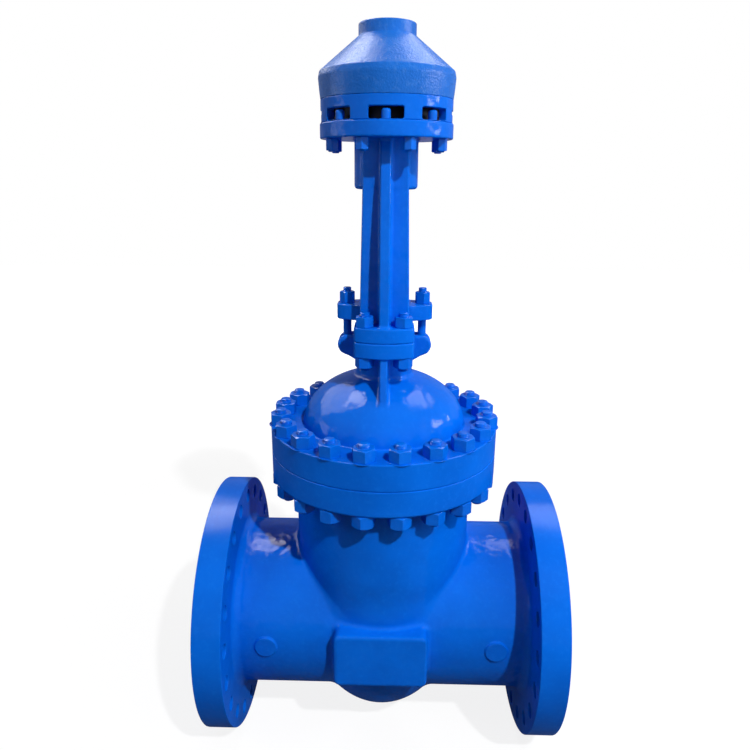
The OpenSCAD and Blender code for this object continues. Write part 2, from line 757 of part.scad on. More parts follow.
// The thrust bearing's two races and cage, round the stem nut's collar
module thrust_bearing() color(steel) on_pipe() translate([0, 0, housing_z]) rotate_extrude() polygon([
    [bearing_in_r, 0], [bearing_r, 0], [bearing_r, race_h], [bearing_r - cage_inset, race_h],
    [bearing_r - cage_inset, bearing_h - race_h], [bearing_r, bearing_h - race_h],
    [bearing_r, bearing_h], [bearing_in_r, bearing_h]
]);

// The windowed ring that carries the cover
module lantern_ring() color(blue) on_pipe() translate([0, 0, housing_z]) difference() {
    cylinder(r = lantern_r, h = lantern_h);
    translate([0, 0, -past]) cylinder(r = lantern_r - lantern_wall, h = lantern_h + 2 * past);
    round_front(window_count, lantern_r - 2 * lantern_wall, window_sill + window_h / 2)
        rotate([90, 0, 90]) linear_extrude(3 * lantern_wall) rounded_panel(window_w, window_h, window_corner);
}

// A round-topped stud on the sill of each window
module lantern_studs() color(blue) on_pipe()
    round_front(window_count, lantern_r - lantern_wall / 2, housing_z + window_sill)
        rotate_extrude($fn = small_fn) polygon(concat(
            [[0, 0], [window_stud_d / 2, 0]],
            [for (j = [0 : 4]) let (a = 90 / 4 * j, r = window_stud_d / 2)
                [r * cos(a), window_stud_h - r / 2 + r / 2 * sin(a)]]
        ));

module cover_bolts() color(blue) on_pipe() round_stem(cover_bolt_count, cover_bolt_r, 0)
    stud(cover_bolt_d, top_flange_z - cover_nut_h - cover_bolt_proud, housing_z);

module cover_nuts() color(blue) on_pipe()
    round_stem(cover_bolt_count, cover_bolt_r, top_flange_z - cover_nut_h)
        hex_nut(cover_nut_af, cover_nut_h, cover_bolt_d);

// The hollow cover: a wall with a slight draught, a cone and a collar round the stem
module cover() color(blue) on_pipe() translate([0, 0, seam_z]) {
    in_r = lantern_r - lantern_wall;
    bore_r = stem_r + collar_gap;
    shoulder = cover_wall_h;
    shoulder_r = cover_r - cover_step / 2;
    cone_top = shoulder + cone_h;
    slope = cone_h / (shoulder_r - collar_r);
    drop = cover_t * sqrt(1 + slope * slope);
    lip_z = cone_top - drop;
    rotate_extrude() polygon([
        [in_r, 0], [lantern_r, 0], [shoulder_r, shoulder / 3], [cover_r, shoulder * 5 / 6],
        [shoulder_r, shoulder], [collar_r, cone_top], [collar_r, cone_top + collar_h],
        [bore_r, cone_top + collar_h], [bore_r, lip_z], [collar_r, lip_z],
        [in_r, lip_z - slope * (in_r - collar_r)]
    ]);
}

body();
seat_ring_left();
seat_ring_right();
wedge();
stem();
bonnet_gasket();
bonnet();
bonnet_studs();
bonnet_nuts_upper();
bonnet_nuts_lower();
packing();
gland_follower();
gland_flange();
gland_eyebolts();
gland_pins();
gland_nuts();
yoke();
yoke_studs();
yoke_nuts_upper();
yoke_nuts_lower();
stem_nut();
thrust_bearing();
lantern_ring();
lantern_studs();
cover_bolts();
cover_nuts();
cover();
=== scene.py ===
"""A flanged steel gate valve: cast body and bonnet, outside yoke and a windowed bearing housing.

Sizes are in millimetres, measured from the middle of the valve on the pipe's axis. Meshes are written
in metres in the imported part's frame, whose origin is the centre of the left end-flange face.
"""

from __future__ import annotations

import logging
import math
from collections.abc import Callable, Sequence
from dataclasses import dataclass, field
from enum import Enum

import bmesh
import bpy
import numpy as np
from bpy.types import Material, Node, NodeSocket, NodeTree, Object
from mathutils import Matrix, Vector


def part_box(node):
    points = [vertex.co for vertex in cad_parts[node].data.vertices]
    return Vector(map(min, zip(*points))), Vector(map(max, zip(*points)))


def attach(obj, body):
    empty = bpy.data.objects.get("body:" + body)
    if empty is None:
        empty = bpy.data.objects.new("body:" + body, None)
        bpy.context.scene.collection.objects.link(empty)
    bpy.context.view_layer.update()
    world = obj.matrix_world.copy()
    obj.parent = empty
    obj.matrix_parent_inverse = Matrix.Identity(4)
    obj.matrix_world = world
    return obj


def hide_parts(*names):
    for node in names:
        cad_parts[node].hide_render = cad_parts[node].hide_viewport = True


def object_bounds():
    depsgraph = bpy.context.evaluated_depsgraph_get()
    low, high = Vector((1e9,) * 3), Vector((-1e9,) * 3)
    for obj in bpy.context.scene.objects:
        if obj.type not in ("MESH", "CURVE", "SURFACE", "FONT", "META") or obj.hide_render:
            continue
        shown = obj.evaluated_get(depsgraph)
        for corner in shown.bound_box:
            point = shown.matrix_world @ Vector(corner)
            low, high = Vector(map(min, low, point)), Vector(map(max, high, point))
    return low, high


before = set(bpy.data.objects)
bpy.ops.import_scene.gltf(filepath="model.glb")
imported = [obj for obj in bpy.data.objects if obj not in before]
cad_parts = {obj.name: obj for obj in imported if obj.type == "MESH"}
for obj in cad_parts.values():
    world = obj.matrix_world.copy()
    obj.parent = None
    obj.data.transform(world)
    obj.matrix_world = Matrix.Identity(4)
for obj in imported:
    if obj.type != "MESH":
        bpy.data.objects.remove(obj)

LOG = logging.getLogger("gate_valve")
MM = 0.001
WHITE = (1.0, 1.0, 1.0, 1.0)
# the cast skins stop this far short of a turned disc's face, in millimetres
SEAM = 0.15
# a turned or threaded piece closes at its axis with a ring of this radius, or this share of its own
POLE = 0.02
# points nearer than this are one, in millimetres
WELD = 0.02
Array = np.ndarray
Field = Callable[[Array, Array, Array], Array]


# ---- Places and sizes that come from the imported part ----


def whole_box() -> tuple[Array, Array]:
    """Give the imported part's lowest and highest corner in metres."""
    low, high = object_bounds()
    return np.array(low), np.array(high)


BOX_LOW, BOX_HIGH = whole_box()
MIDDLE = np.array([(BOX_LOW[0] + BOX_HIGH[0]) / 2, 0.0, 0.0])
TO_MIDDLE = Matrix.Translation(Vector(MIDDLE))


def node_box(node: str) -> tuple[Array, Array]:
    """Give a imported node's lowest and highest corner, in millimetres from the middle of the valve."""
    low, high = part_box(node)
    return (np.array(low) - MIDDLE) / MM, (np.array(high) - MIDDLE) / MM


def place(points: Sequence[float] | Array) -> Array:
    """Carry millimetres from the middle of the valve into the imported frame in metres."""
    return np.asarray(points) * MM + MIDDLE


# ---- Casting: shapes as distance fields, with fillets where they meet ----


def join(a: Array, b: Array, r: float = 0.0) -> Array:
    """Unite two distance fields with a fillet.

    Args:
        a: Distance to the first solid, negative inside.
        b: Distance to the second solid.
        r: Radius of the fillet.

    Returns:
        Distance to the two together.
    """
    if r <= 0:
        return np.minimum(a, b)
    return np.maximum(r, np.minimum(a, b)) - np.hypot(np.maximum(r - a, 0), np.maximum(r - b, 0))


def meet(a: Array, b: Array, r: float = 0.0) -> Array:
    """Distance to what two solids share, with a rounded edge of radius r."""
    return -join(-a, -b, r)


def cut(a: Array, b: Array, r: float = 0.0) -> Array:
    """Distance to the first solid without the second, with a rounded edge of radius r."""
    return -join(-a, b, r)


def between(v: Array, low: float, high: float) -> Array:
    """Distance to the slab between two planes across v."""
    return np.abs(v - (low + high) / 2) - (high - low) / 2


def rounded_box(u: Array, v: Array, half_u: float, half_v: float, r: float) -> Array:
    """Distance to a rectangle about u = v = 0 with corners of radius r."""
    a, b = np.abs(u) - half_u + r, np.abs(v) - half_v + r
    return np.hypot(np.maximum(a, 0), np.maximum(b, 0)) + np.minimum(np.maximum(a, b), 0) - r


def slope(v: Array, v0: float, s0: float, v1: float, s1: float) -> Array:
    """Follow a straight line from s0 at v0 to s1 at v1, and hold its ends."""
    t = np.clip((v - v0) / (v1 - v0), 0.0, 1.0)
    return s0 + (s1 - s0) * t


def spheroid(r: Array, z: Array, radius: float, height: float) -> Array:
    """Distance to a flattened or stretched ball about r = z = 0, true near its skin."""
    k = np.maximum(np.hypot(r / radius, z / height), 0.2)
    return (k - 1) / np.maximum(np.hypot(r / radius**2, z / height**2) / k, 1e-6)


@dataclass(frozen=True)
class Skin:
    """A closed mesh in millimetres: points, four-cornered faces and the normal at each point."""

    points: Array
    faces: Array
    normals: Array


def gradient(solid: Field, p: Array, h: float = 0.15) -> Array:
    """Measure which way a field grows.

    Args:
        solid: The distance field.
        p: Points, one a row.
        h: Half the distance between the two readings.

    Returns:
        The field's gradient at each point.
    """
    g = np.empty_like(p)
    for axis, step in enumerate(np.eye(3) * h):
        g[:, axis] = (solid(*(p + step).T) - solid(*(p - step).T)) / (2 * h)
    return g


def settle(solid: Field, p: Array, reach: float, turns: int = 5) -> tuple[Array, Array]:
    """Move points onto the field's skin.

    Args:
        solid: The distance field.
        p: Points near the skin, one a row.
        reach: The most that a point moves in one turn.
        turns: Number of turns.

    Returns:
        The points on the skin and the unit normals there.
    """
    for _ in range(turns):
        g = gradient(solid, p)
        size = np.maximum((g * g).sum(1), 0.05)
        move = solid(*p.T) / size
        move = np.clip(move * np.sqrt(size), -reach, reach) / np.sqrt(size)
        p = p - move[:, None] * g
    n = gradient(solid, p, 0.6)
    return p, n / np.maximum(np.linalg.norm(n, axis=1, keepdims=True), 1e-9)


def pour(solid: Field, low: Sequence[float], high: Sequence[float], cell: float) -> Skin:
    """Turn a field into a closed mesh: one point in each cell that the skin crosses, then settled on it.

    Args:
        solid: The distance field.
        low: Lowest corner of the space that holds the solid.
        high: Highest corner.
        cell: Size of a cell.

    Returns:
        The closed skin.
    """
    axes = [np.arange(a - 1.5 * cell, b + 2.5 * cell, cell) for a, b in zip(low, high)]
    v = np.asarray(solid(*np.meshgrid(*axes, indexing="ij", sparse=True)))
    inside = v < 0
    nx, ny, nz = (n - 1 for n in v.shape)
    corners = [(i, j, k) for i in (0, 1) for j in (0, 1) for k in (0, 1)]
    held = sum(inside[i:nx + i, j:ny + j, k:nz + k].astype(np.int8) for i, j, k in corners)
    cells = np.argwhere((held > 0) & (held < len(corners)))
    number = np.full((nx, ny, nz), -1)
    number[tuple(cells.T)] = np.arange(len(cells))
    at = {c: v[tuple((cells + c).T)] for c in corners}
    total, count = np.zeros((len(cells), 3)), np.zeros(len(cells))
    for a, axis in ((a, axis) for a in corners for axis in range(3) if not a[axis]):
        b = tuple(c + (n == axis) for n, c in enumerate(a))
        crossed = (at[a] < 0) != (at[b] < 0)
        t = at[a][crossed] / (at[a][crossed] - at[b][crossed])
        total[crossed] += a
        total[crossed, axis] += t
        count[crossed] += 1
    start = np.array([axis[0] for axis in axes])
    faces = []
    for axis in range(3):
        u, w = (axis + 1) % 3, (axis + 2) % 3
        here, there = [slice(1, -1)] * 3, [slice(1, -1)] * 3
        here[axis], there[axis] = slice(None, -1), slice(1, None)
        first = inside[tuple(here)]
        edge = np.argwhere(first != inside[tuple(there)])
        outward = first[tuple(edge.T)]
        ring = []
        for du, dw in ((0, 0), (1, 0), (1, 1), (0, 1)):
            c = edge.copy()
            c[:, u] += du
            c[:, w] += dw
            ring.append(number[tuple(c.T)])
        quads = np.stack(ring, 1)
        quads[~outward] = quads[~outward][:, ::-1]
        faces.append(quads)
    points, normals = settle(solid, start + cell * (cells + total / count[:, None]), cell * 0.6)
    return Skin(points, np.concatenate(faces), normals)


# ---- Mesh makers ----


def in_scene(name: str, mesh: bpy.types.Mesh) -> Object:
    """Make an object of a mesh, at the origin of the scene.

    Args:
        name: The object's name.
        mesh: Its mesh.

    Returns:
        The new object.
    """
    piece = bpy.data.objects.new(name, mesh)
    bpy.context.scene.collection.objects.link(piece)
    return piece


def mesh_object(name: str, points: Array, faces: Array) -> Object:
    """Make a smooth shaded mesh object from points in millimetres.

    Args:
        name: The object's name.
        points: Points, one a row.
        faces: Four-cornered faces, one a row.

    Returns:
        The new object.
    """
    mesh = bpy.data.meshes.new(name)
    mesh.vertices.add(len(points))
    mesh.vertices.foreach_set("co", place(points).astype(np.float32).ravel())
    mesh.loops.add(faces.size)
    mesh.loops.foreach_set("vertex_index", faces.astype(np.int32).ravel())
    mesh.polygons.add(len(faces))
    mesh.polygons.foreach_set("loop_start", np.arange(0, faces.size, faces.shape[1], dtype=np.int32))
    mesh.update(calc_edges=True)
    mesh.validate()
    mesh.shade_smooth()
    return in_scene(name, mesh)


def blank_object(name: str, points: Array, faces: Array) -> Object:
    """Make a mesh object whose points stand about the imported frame's origin, for a ring to copy."""
    return mesh_object(name, points - MIDDLE / MM, faces)


def local(piece: Object) -> Object:
    """Bring a mesh made in the valve's place back about the origin, for a ring to copy."""
    piece.data.transform(TO_MIDDLE.inverted())
    return piece


def cast(name: str, skin: Skin) -> Object:
    """Make an object from a poured skin, shaded by the field's own normals.

    Args:
        name: The object's name.
        skin: The poured skin.

    Returns:
        The new object.
    """
    piece = mesh_object(name, skin.points, skin.faces)
    if len(piece.data.vertices) == len(skin.normals):
        piece.data.normals_split_custom_set_from_vertices(skin.normals.astype(np.float32))
    return piece


def ring_points(r: float | Array, z: float | Array, angle: Array) -> Array:
    """Points at the given radii, heights and angles round the z axis."""
    return np.stack(np.broadcast_arrays(r * np.cos(angle), r * np.sin(angle), z), -1)


def ring_faces(rings: int, columns: int, closed: bool = True) -> Array:
    """Number the faces between neighbouring rings of points.

    Args:
        rings: Number of rings.
        columns: Points in each ring.
        closed: Whether the last ring joins the first.

    Returns:
        Four-cornered faces, one a row.
    """
    i, k = np.meshgrid(np.arange(rings if closed else rings - 1), np.arange(columns), indexing="ij")
    j, q = (i + 1) % rings, (k + 1) % columns
    return np.stack([i * columns + k, i * columns + q, j * columns + q, j * columns + k], -1).reshape(-1, 4)


@dataclass(frozen=True)
class Edge:
    """A stretch of a turned profile: its two ends as (radius, height) and the normal at each."""

    start: Array
    end: Array
    normal_start: Array
    normal_end: Array


def outline(corners: Sequence[tuple[float, float, float]], steps: int = 4) -> list[Edge]:
    """Round the corners of a closed profile that runs anticlockwise.

    Args:
        corners: Radius, height and corner radius of each corner.
        steps: Stretches in each rounded corner.

    Returns:
        The profile's stretches with their normals.
    """
    pts = [np.array(c[:2], float) for c in corners]
    after = pts[1:] + pts[:1]
    rings: list[tuple[list[Array], list[Array]]] = []
    for i, (_, _, r) in enumerate(corners):
        a, b = (v / np.linalg.norm(v) for v in (pts[i] - pts[i - 1], after[i] - pts[i]))
        na, nb = np.array([a[1], -a[0]]), np.array([b[1], -b[0]])
        if r <= 0:
            rings.append(([pts[i]], [na, nb]))
            continue
        turn = math.atan2(a[0] * b[1] - a[1] * b[0], float(a @ b))
        side = math.copysign(r, turn)
        centre = pts[i] - a * r * math.tan(abs(turn) / 2) - na * side
        base = math.atan2(na[1], na[0])
        angles = [base + turn * k / steps for k in range(steps + 1)]
        ns = [np.array([math.cos(t), math.sin(t)]) for t in angles]
        rings.append(([centre + m * side for m in ns], ns))
    edges: list[Edge] = []
    for (ring, ns), (next_ring, next_ns) in zip(rings, rings[1:] + rings[:1]):
        edges += [Edge(ring[k], ring[k + 1], ns[k], ns[k + 1]) for k in range(len(ring) - 1)]
        edges.append(Edge(ring[-1], next_ring[0], ns[-1], next_ns[0]))
    return edges


class Axis(Enum):
    """The line that a turned piece goes round, with the turn that carries +Z onto it."""

    STEM = ((1, 0, 0), (0, 1, 0), (0, 0, 1))
    PIPE_RIGHT = ((0, 0, 1), (1, 0, 0), (0, 1, 0))
    PIPE_LEFT = ((0, 0, -1), (-1, 0, 0), (0, 1, 0))
    FRONT = ((1, 0, 0), (0, 0, -1), (0, 1, 0))


def turned(name: str, edges: Sequence[Edge], segments: int = 160, axis: Axis = Axis.STEM) -> Object:
    """Spin a closed profile into a ring, shaded by the profile's own normals.

    Args:
        name: The object's name.
        edges: The profile's stretches.
        segments: Faces round the axis.
        axis: The line it is spun round.

    Returns:
        The new object.
    """
    angle = np.arange(segments) * 2 * math.pi / segments
    after = np.roll(angle, -1)
    profile = zip(*((e.start, e.normal_start, e.normal_end) for e in edges))
    rows, first, last = (np.array(column) for column in profile)
    turn = np.array(axis.value, float)
    points = ring_points(rows[:, :1], rows[:, 1:], angle).reshape(-1, 3)
    piece = mesh_object(name, points @ turn.T, ring_faces(len(rows), segments))
    corners = ((first, angle), (first, after), (last, after), (last, angle))
    normals = np.stack([ring_points(n[:, :1], n[:, 1:], a) for n, a in corners], 2)
    if len(piece.data.loops) == normals.size // 3:
        piece.data.normals_split_custom_set((normals.reshape(-1, 3) @ turn.T).astype(np.float32))
    return piece


def finished(piece: Object) -> Object:
    """Apply a piece's modifiers, so that it is a plain mesh.

    Args:
        piece: The object with its modifiers.

    Returns:
        The same object with a plain mesh and no modifier.
    """
    view = bpy.context.evaluated_depsgraph_get()
    view.update()
    live = piece.evaluated_get(view)
    mesh = bpy.data.meshes.new_from_object(live, preserve_all_data_layers=True, depsgraph=view)
    piece.modifiers.clear()
    piece.data = mesh
    return piece


def weighed(piece: Object) -> Object:
    """Weigh a piece's normals by the size of its faces, keep its sharp edges and apply its modifiers."""
    piece.modifiers.new("weigh", "WEIGHTED_NORMAL").keep_sharp = True
    return finished(piece)


def weld(piece: Object, distance: float) -> None:
    """Make neighbouring points one and turn the faces outwards.

    Args:
        piece: The object.
        distance: How near points must be, in metres.
    """
    work = bmesh.new()
    work.from_mesh(piece.data)
    bmesh.ops.remove_doubles(work, verts=work.verts, dist=distance)
    bmesh.ops.recalc_face_normals(work, faces=work.faces)
    work.to_mesh(piece.data)
    work.free()


def merged(name: str, parts: Sequence[Object]) -> Object:
    """Put several meshes into one object.

    Args:
        name: The object's name.
        parts: The objects, which are taken away.

    Returns:
        The one object.
    """
    work = bmesh.new()
    for part in parts:
        work.from_mesh(part.data)
        bpy.data.objects.remove(part)
    mesh = bpy.data.meshes.new(name)
    work.to_mesh(mesh)
    work.free()
    return in_scene(name, mesh)


@dataclass(frozen=True)
class Bolting:
    """A hexagon nut on z = 0 and the threaded end of its stud, as blanks that a ring copies.

    The end stands proud of the nut's top and starts hidden below it. The edge is the width of the nut's edges
    as the paint eases them, and the chamfer is in degrees.
    """

    stud_r: float
    pitch: float
    across: float
    nut_h: float
    proud: float
    hidden: float
    edge: float = 0.7
    columns: int = 24
    chamfer: float = 28.0

    def angles(self) -> Array:
        """Give the angle of each column of points."""
        return np.arange(self.columns) * 2 * math.pi / self.columns

    def nut(self) -> Object:
        """Make the nut, chamfered at both ends.

        Returns:
            The nut.
        """
        angle, sixth = self.angles(), math.pi / 3
        reach = self.across / 2 / np.cos((angle + sixth / 2) % sixth - sixth / 2)
        face, high = self.across / 2 * 0.96, self.nut_h
        drop = np.maximum(reach - face, 0) * math.tan(math.radians(self.chamfer))
        hole = self.stud_r
        rows = [(hole, 0), (face, 0), (reach, drop), (reach, high - drop), (face, high), (hole, high)]
        points = np.concatenate([ring_points(r, z, angle) for r, z in rows])
        piece = blank_object("nut", points, ring_faces(len(rows), self.columns))
        ease = piece.modifiers.new("ease", "BEVEL")
        ease.width = self.edge * MM
        ease.segments = 2
        ease.limit_method = "ANGLE"
        ease.angle_limit = math.radians(self.chamfer)
        return weighed(piece)

    def end(self, downward: bool = False) -> Object:
        """Make the stud's end, whose thread is a true helix, with a domed top under paint.

        Args:
            downward: Whether it hangs below a face instead.

        Returns:
            The end.
        """
        rows_a_turn, depth = 4, 0.5 * self.pitch
        angle, low, high = self.angles(), self.nut_h - self.hidden, self.nut_h + self.proud
        rows = max(int((high - low) / self.pitch * rows_a_turn), 2) + 1
        z = np.linspace(low, high - depth, rows)[:, None]
        phase = (z / self.pitch - angle / (2 * math.pi)) % 1.0
        thread = ring_points(self.stud_r - depth * np.abs(2 * phase - 1), z, angle).reshape(-1, 3)
        dome = ((0.8, 0.75), (0.62, 1.0), (0.3, 1.05), (POLE, 1.05))
        caps = [ring_points(self.stud_r * r, high - depth + up * depth, angle) for r, up in dome]
        points = np.concatenate([ring_points(self.stud_r * POLE, low, angle), thread, *caps])
        faces = ring_faces(len(points) // self.columns, self.columns, closed=False)
        piece = blank_object("stud_end", points, faces)
        weld(piece, self.stud_r * POLE * 2.25 * MM)
        piece.data.set_sharp_from_angle(angle=math.radians(50))
        if downward:
            piece.data.transform(Matrix.Rotation(math.pi, 4, "X"))
        return piece


# ---- Geometry Nodes: pieces that repeat round the stem or round a flange ----

Link = NodeSocket | float | int | str | bool | tuple | Material | Object


def add(tree: NodeTree, kind: str, links: dict[str | int, Link] | None = None, **settings: object) -> Node:
    """Add a node with its settings, and link or set its inputs.

    Args:
        tree: The tree that takes the node.
        kind: The node's type name.
        links: For each input, a socket to link or a value to set.
        settings: Properties of the node.

    Returns:
        The new node.
    """
    node = tree.nodes.new(kind)
    for setting, value in settings.items():
        setattr(node, setting, value)
    for name, value in (links or {}).items():
        if isinstance(value, NodeSocket):
            tree.links.new(value, node.inputs[name])
        else:
            node.inputs[name].default_value = value
    return node



def new_tree(name: str, result: str, inputs: dict[str, str]) -> tuple[NodeTree, bpy.types.NodeOutputs]:
    """Start a Geometry Nodes tree.

    Args:
        name: The tree's name.
        result: The name of what it gives.
        inputs: The kind of each named input.

    Returns:
        The tree and the sockets of its inputs.
    """
    tree = bpy.data.node_groups.new(name, "GeometryNodeTree")
    for label, kind in inputs.items():
        tree.interface.new_socket(label, in_out="INPUT", socket_type="NodeSocket" + kind)
    tree.interface.new_socket(result, in_out="OUTPUT", socket_type="NodeSocketGeometry")
    return tree, add(tree, "NodeGroupInput").outputs


def end_tree(tree: NodeTree, geometry: NodeSocket, finish: NodeSocket) -> NodeTree:
    """Make a tree's copies real, dress them and give them out.

    Args:
        tree: The tree.
        geometry: What it has made.
        finish: Its material.

    Returns:
        The same tree.
    """
    real = add(tree, "GeometryNodeRealizeInstances", {"Geometry": geometry}).outputs[0]
    dressed = add(tree, "GeometryNodeSetMaterial", {"Geometry": real, "Material": finish}).outputs[0]
    add(tree, "NodeGroupOutput", {0: dressed})
    return tree


def ring_tree() -> NodeTree:
    """Build the tree that copies a piece round the local z axis.

    Returns:
        The tree, with inputs Piece, Count, Radius, Height, First Angle, Spin, Seed and Finish.
    """
    tree, given = new_tree("ring_of_pieces", "Ring", {
        "Piece": "Object", "Count": "Int", "Radius": "Float", "Height": "Float", "First Angle": "Float",
        "Spin": "Float", "Seed": "Int", "Finish": "Material"})
    sums = "ShaderNodeMath"
    index = add(tree, "GeometryNodeInputIndex").outputs[0]
    step = add(tree, sums, {0: math.tau, 1: given["Count"]}, operation="DIVIDE").outputs[0]
    turn = add(tree, sums, {0: index, 1: step, 2: given["First Angle"]}, operation="MULTIPLY_ADD").outputs[0]
    spot = add(tree, "ShaderNodeCombineXYZ", {"Z": given["Height"]})
    for line, wave in (("X", "COSINE"), ("Y", "SINE")):
        share = add(tree, sums, {0: turn}, operation=wave).outputs[0]
        reach = add(tree, sums, {0: share, 1: given["Radius"]}, operation="MULTIPLY").outputs[0]
        tree.links.new(reach, spot.inputs[line])
    points = add(tree, "GeometryNodePoints", {"Count": given["Count"], "Position": spot.outputs[0]})
    back = add(tree, sums, {0: given["Spin"], 1: -1.0}, operation="MULTIPLY").outputs[0]
    span = {"Min": back, "Max": given["Spin"], "ID": index, "Seed": given["Seed"]}
    loose = add(tree, "FunctionNodeRandomValue", span, data_type="FLOAT").outputs["Value"]
    facing = add(tree, sums, {0: turn, 1: loose}, operation="ADD").outputs[0]
    rotation = add(tree, "ShaderNodeCombineXYZ", {"Z": facing}).outputs[0]
    piece = add(tree, "GeometryNodeObjectInfo", {"Object": given["Piece"]}, transform_space="ORIGINAL")
    copies = add(tree, "GeometryNodeInstanceOnPoints", {
        "Points": points.outputs[0], "Instance": piece.outputs["Geometry"], "Rotation": rotation})
    return end_tree(tree, copies.outputs[0], given["Finish"])


def screw_tree() -> NodeTree:
    """Build the tree that winds a trapezoidal thread round a stem.

    Returns:
        The tree, with inputs Radius, Depth, Pitch, Length and Finish.
    """
    tree, given = new_tree("stem_thread", "Thread", {
        "Radius": "Float", "Depth": "Float", "Pitch": "Float", "Length": "Float", "Finish": "Material"})
    turns, root, base, crest, tall = (
        add(tree, "ShaderNodeMath", {0: given[name], 1: value}, operation=operation).outputs[0]
        for operation, name, value in (
            ("DIVIDE", "Length", given["Pitch"]), ("SUBTRACT", "Radius", given["Depth"]),
            ("MULTIPLY", "Pitch", 0.64), ("MULTIPLY", "Pitch", 0.37), ("MULTIPLY", "Depth", 2.0)))
    helix = add(tree, "GeometryNodeCurveSpiral", {
        "Resolution": 32, "Rotations": turns, "Start Radius": root, "End Radius": root,
        "Height": given["Length"], "Reverse": False}).outputs[0]
    upright = add(tree, "GeometryNodeSetCurveNormal", {"Curve": helix}, mode="Z_UP").outputs[0]
    ridge = add(tree, "GeometryNodeCurvePrimitiveQuadrilateral", {
        "Bottom Width": base, "Top Width": crest, "Height": tall, "Offset": 0.0}, mode="TRAPEZOID")
    wound = add(tree, "GeometryNodeCurveToMesh", {
        "Curve": upright, "Profile Curve": ridge.outputs[0], "Fill Caps": True})
    return end_tree(tree, wound.outputs[0], given["Finish"])


def grow(name: str, tree: NodeTree, values: dict[str, object], carry: Matrix) -> Object:
    """Run a tree and keep its result as a plain mesh in its place.

    Args:
        name: The new object's name.
        tree: The tree to run.
        values: A value for each named input of the tree.
        carry: Where the result goes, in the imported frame.

    Returns:
        The new object, at the origin and without modifiers.
    """
    piece = in_scene(name, bpy.data.meshes.new(name))
    nodes = piece.modifiers.new("grow", "NODES")
    nodes.node_group = tree
    sockets = {s.name: s.identifier for s in tree.interface.items_tree if s.in_out == "INPUT"}
    for label, value in values.items():
        nodes[sockets[label]] = value
    finished(piece)
    piece.data.transform(carry)
    return piece


# ---- Finishes ----


def linear(code: str) -> tuple[float, float, float, float]:
    """Turn an sRGB hex colour into linear light.

    Args:
        code: Six hexadecimal digits after a hash.

    Returns:
        Linear red, green and blue, and full opacity.
    """
    parts = [int(code[i:i + 2], 16) / 255 for i in (1, 3, 5)]
    r, g, b = (c / 12.92 if c <= 0.04045 else ((c + 0.055) / 1.055) ** 2.4 for c in parts)
    return (r, g, b, 1.0)


def cloud(where: NodeSocket, size: float, detail: float) -> dict[str | int, Link]:
    """Inputs of a noise whose clouds are about size millimetres wide."""
    return {"Vector": where, "Scale": 1 / (size * MM), "Detail": detail}


def patches(
    tree: NodeTree, where: NodeSocket, size: float, detail: float, span: tuple[float, float, float],
    under: Link, over: Link,
) -> tuple[NodeSocket, NodeSocket]:
    """Lay one colour over another in cloudy patches.

    Args:
        tree: The tree that takes the nodes.
        where: The place on the object that the patches follow.
        size: Width of a patch in millimetres.
        detail: How ragged its edge is.
        span: Heights of the noise where the second colour starts and ends to rise, and its greatest share.
        under: The first colour.
        over: The second colour.

    Returns:
        The colour, and the noise that it follows.
    """
    noise = add(tree, "ShaderNodeTexNoise", cloud(where, size, detail)).outputs[0]
    low, high, most = span
    share = add(tree, "ShaderNodeMapRange", {0: noise, 1: low, 2: high, 3: 0.0, 4: most}).outputs[0]
    return add(tree, "ShaderNodeMix", {0: share, 6: under, 7: over}, data_type="RGBA").outputs[2], noise


@dataclass(frozen=True)
class Finish:
    """A finish: one shader, whose inputs each kind of finish works out in its own way."""

    name: str

    def looks(self, tree: NodeTree, where: NodeSocket) -> dict[str | int, Link]:
        """Give the shader's inputs, from the tree that takes nodes and the place that patterns follow."""
        raise NotImplementedError

    def material(self) -> Material:
        """Build the material.

        Returns:
            The material.
        """
        made = bpy.data.materials.new(self.name)
        made.use_nodes = True
        tree = made.node_tree
        tree.nodes.clear()
        where = add(tree, "ShaderNodeTexCoord").outputs["Object"]
        shader = add(tree, "ShaderNodeBsdfPrincipled", self.looks(tree, where))
        add(tree, "ShaderNodeOutputMaterial", {"Surface": shader.outputs[0]})
        return made


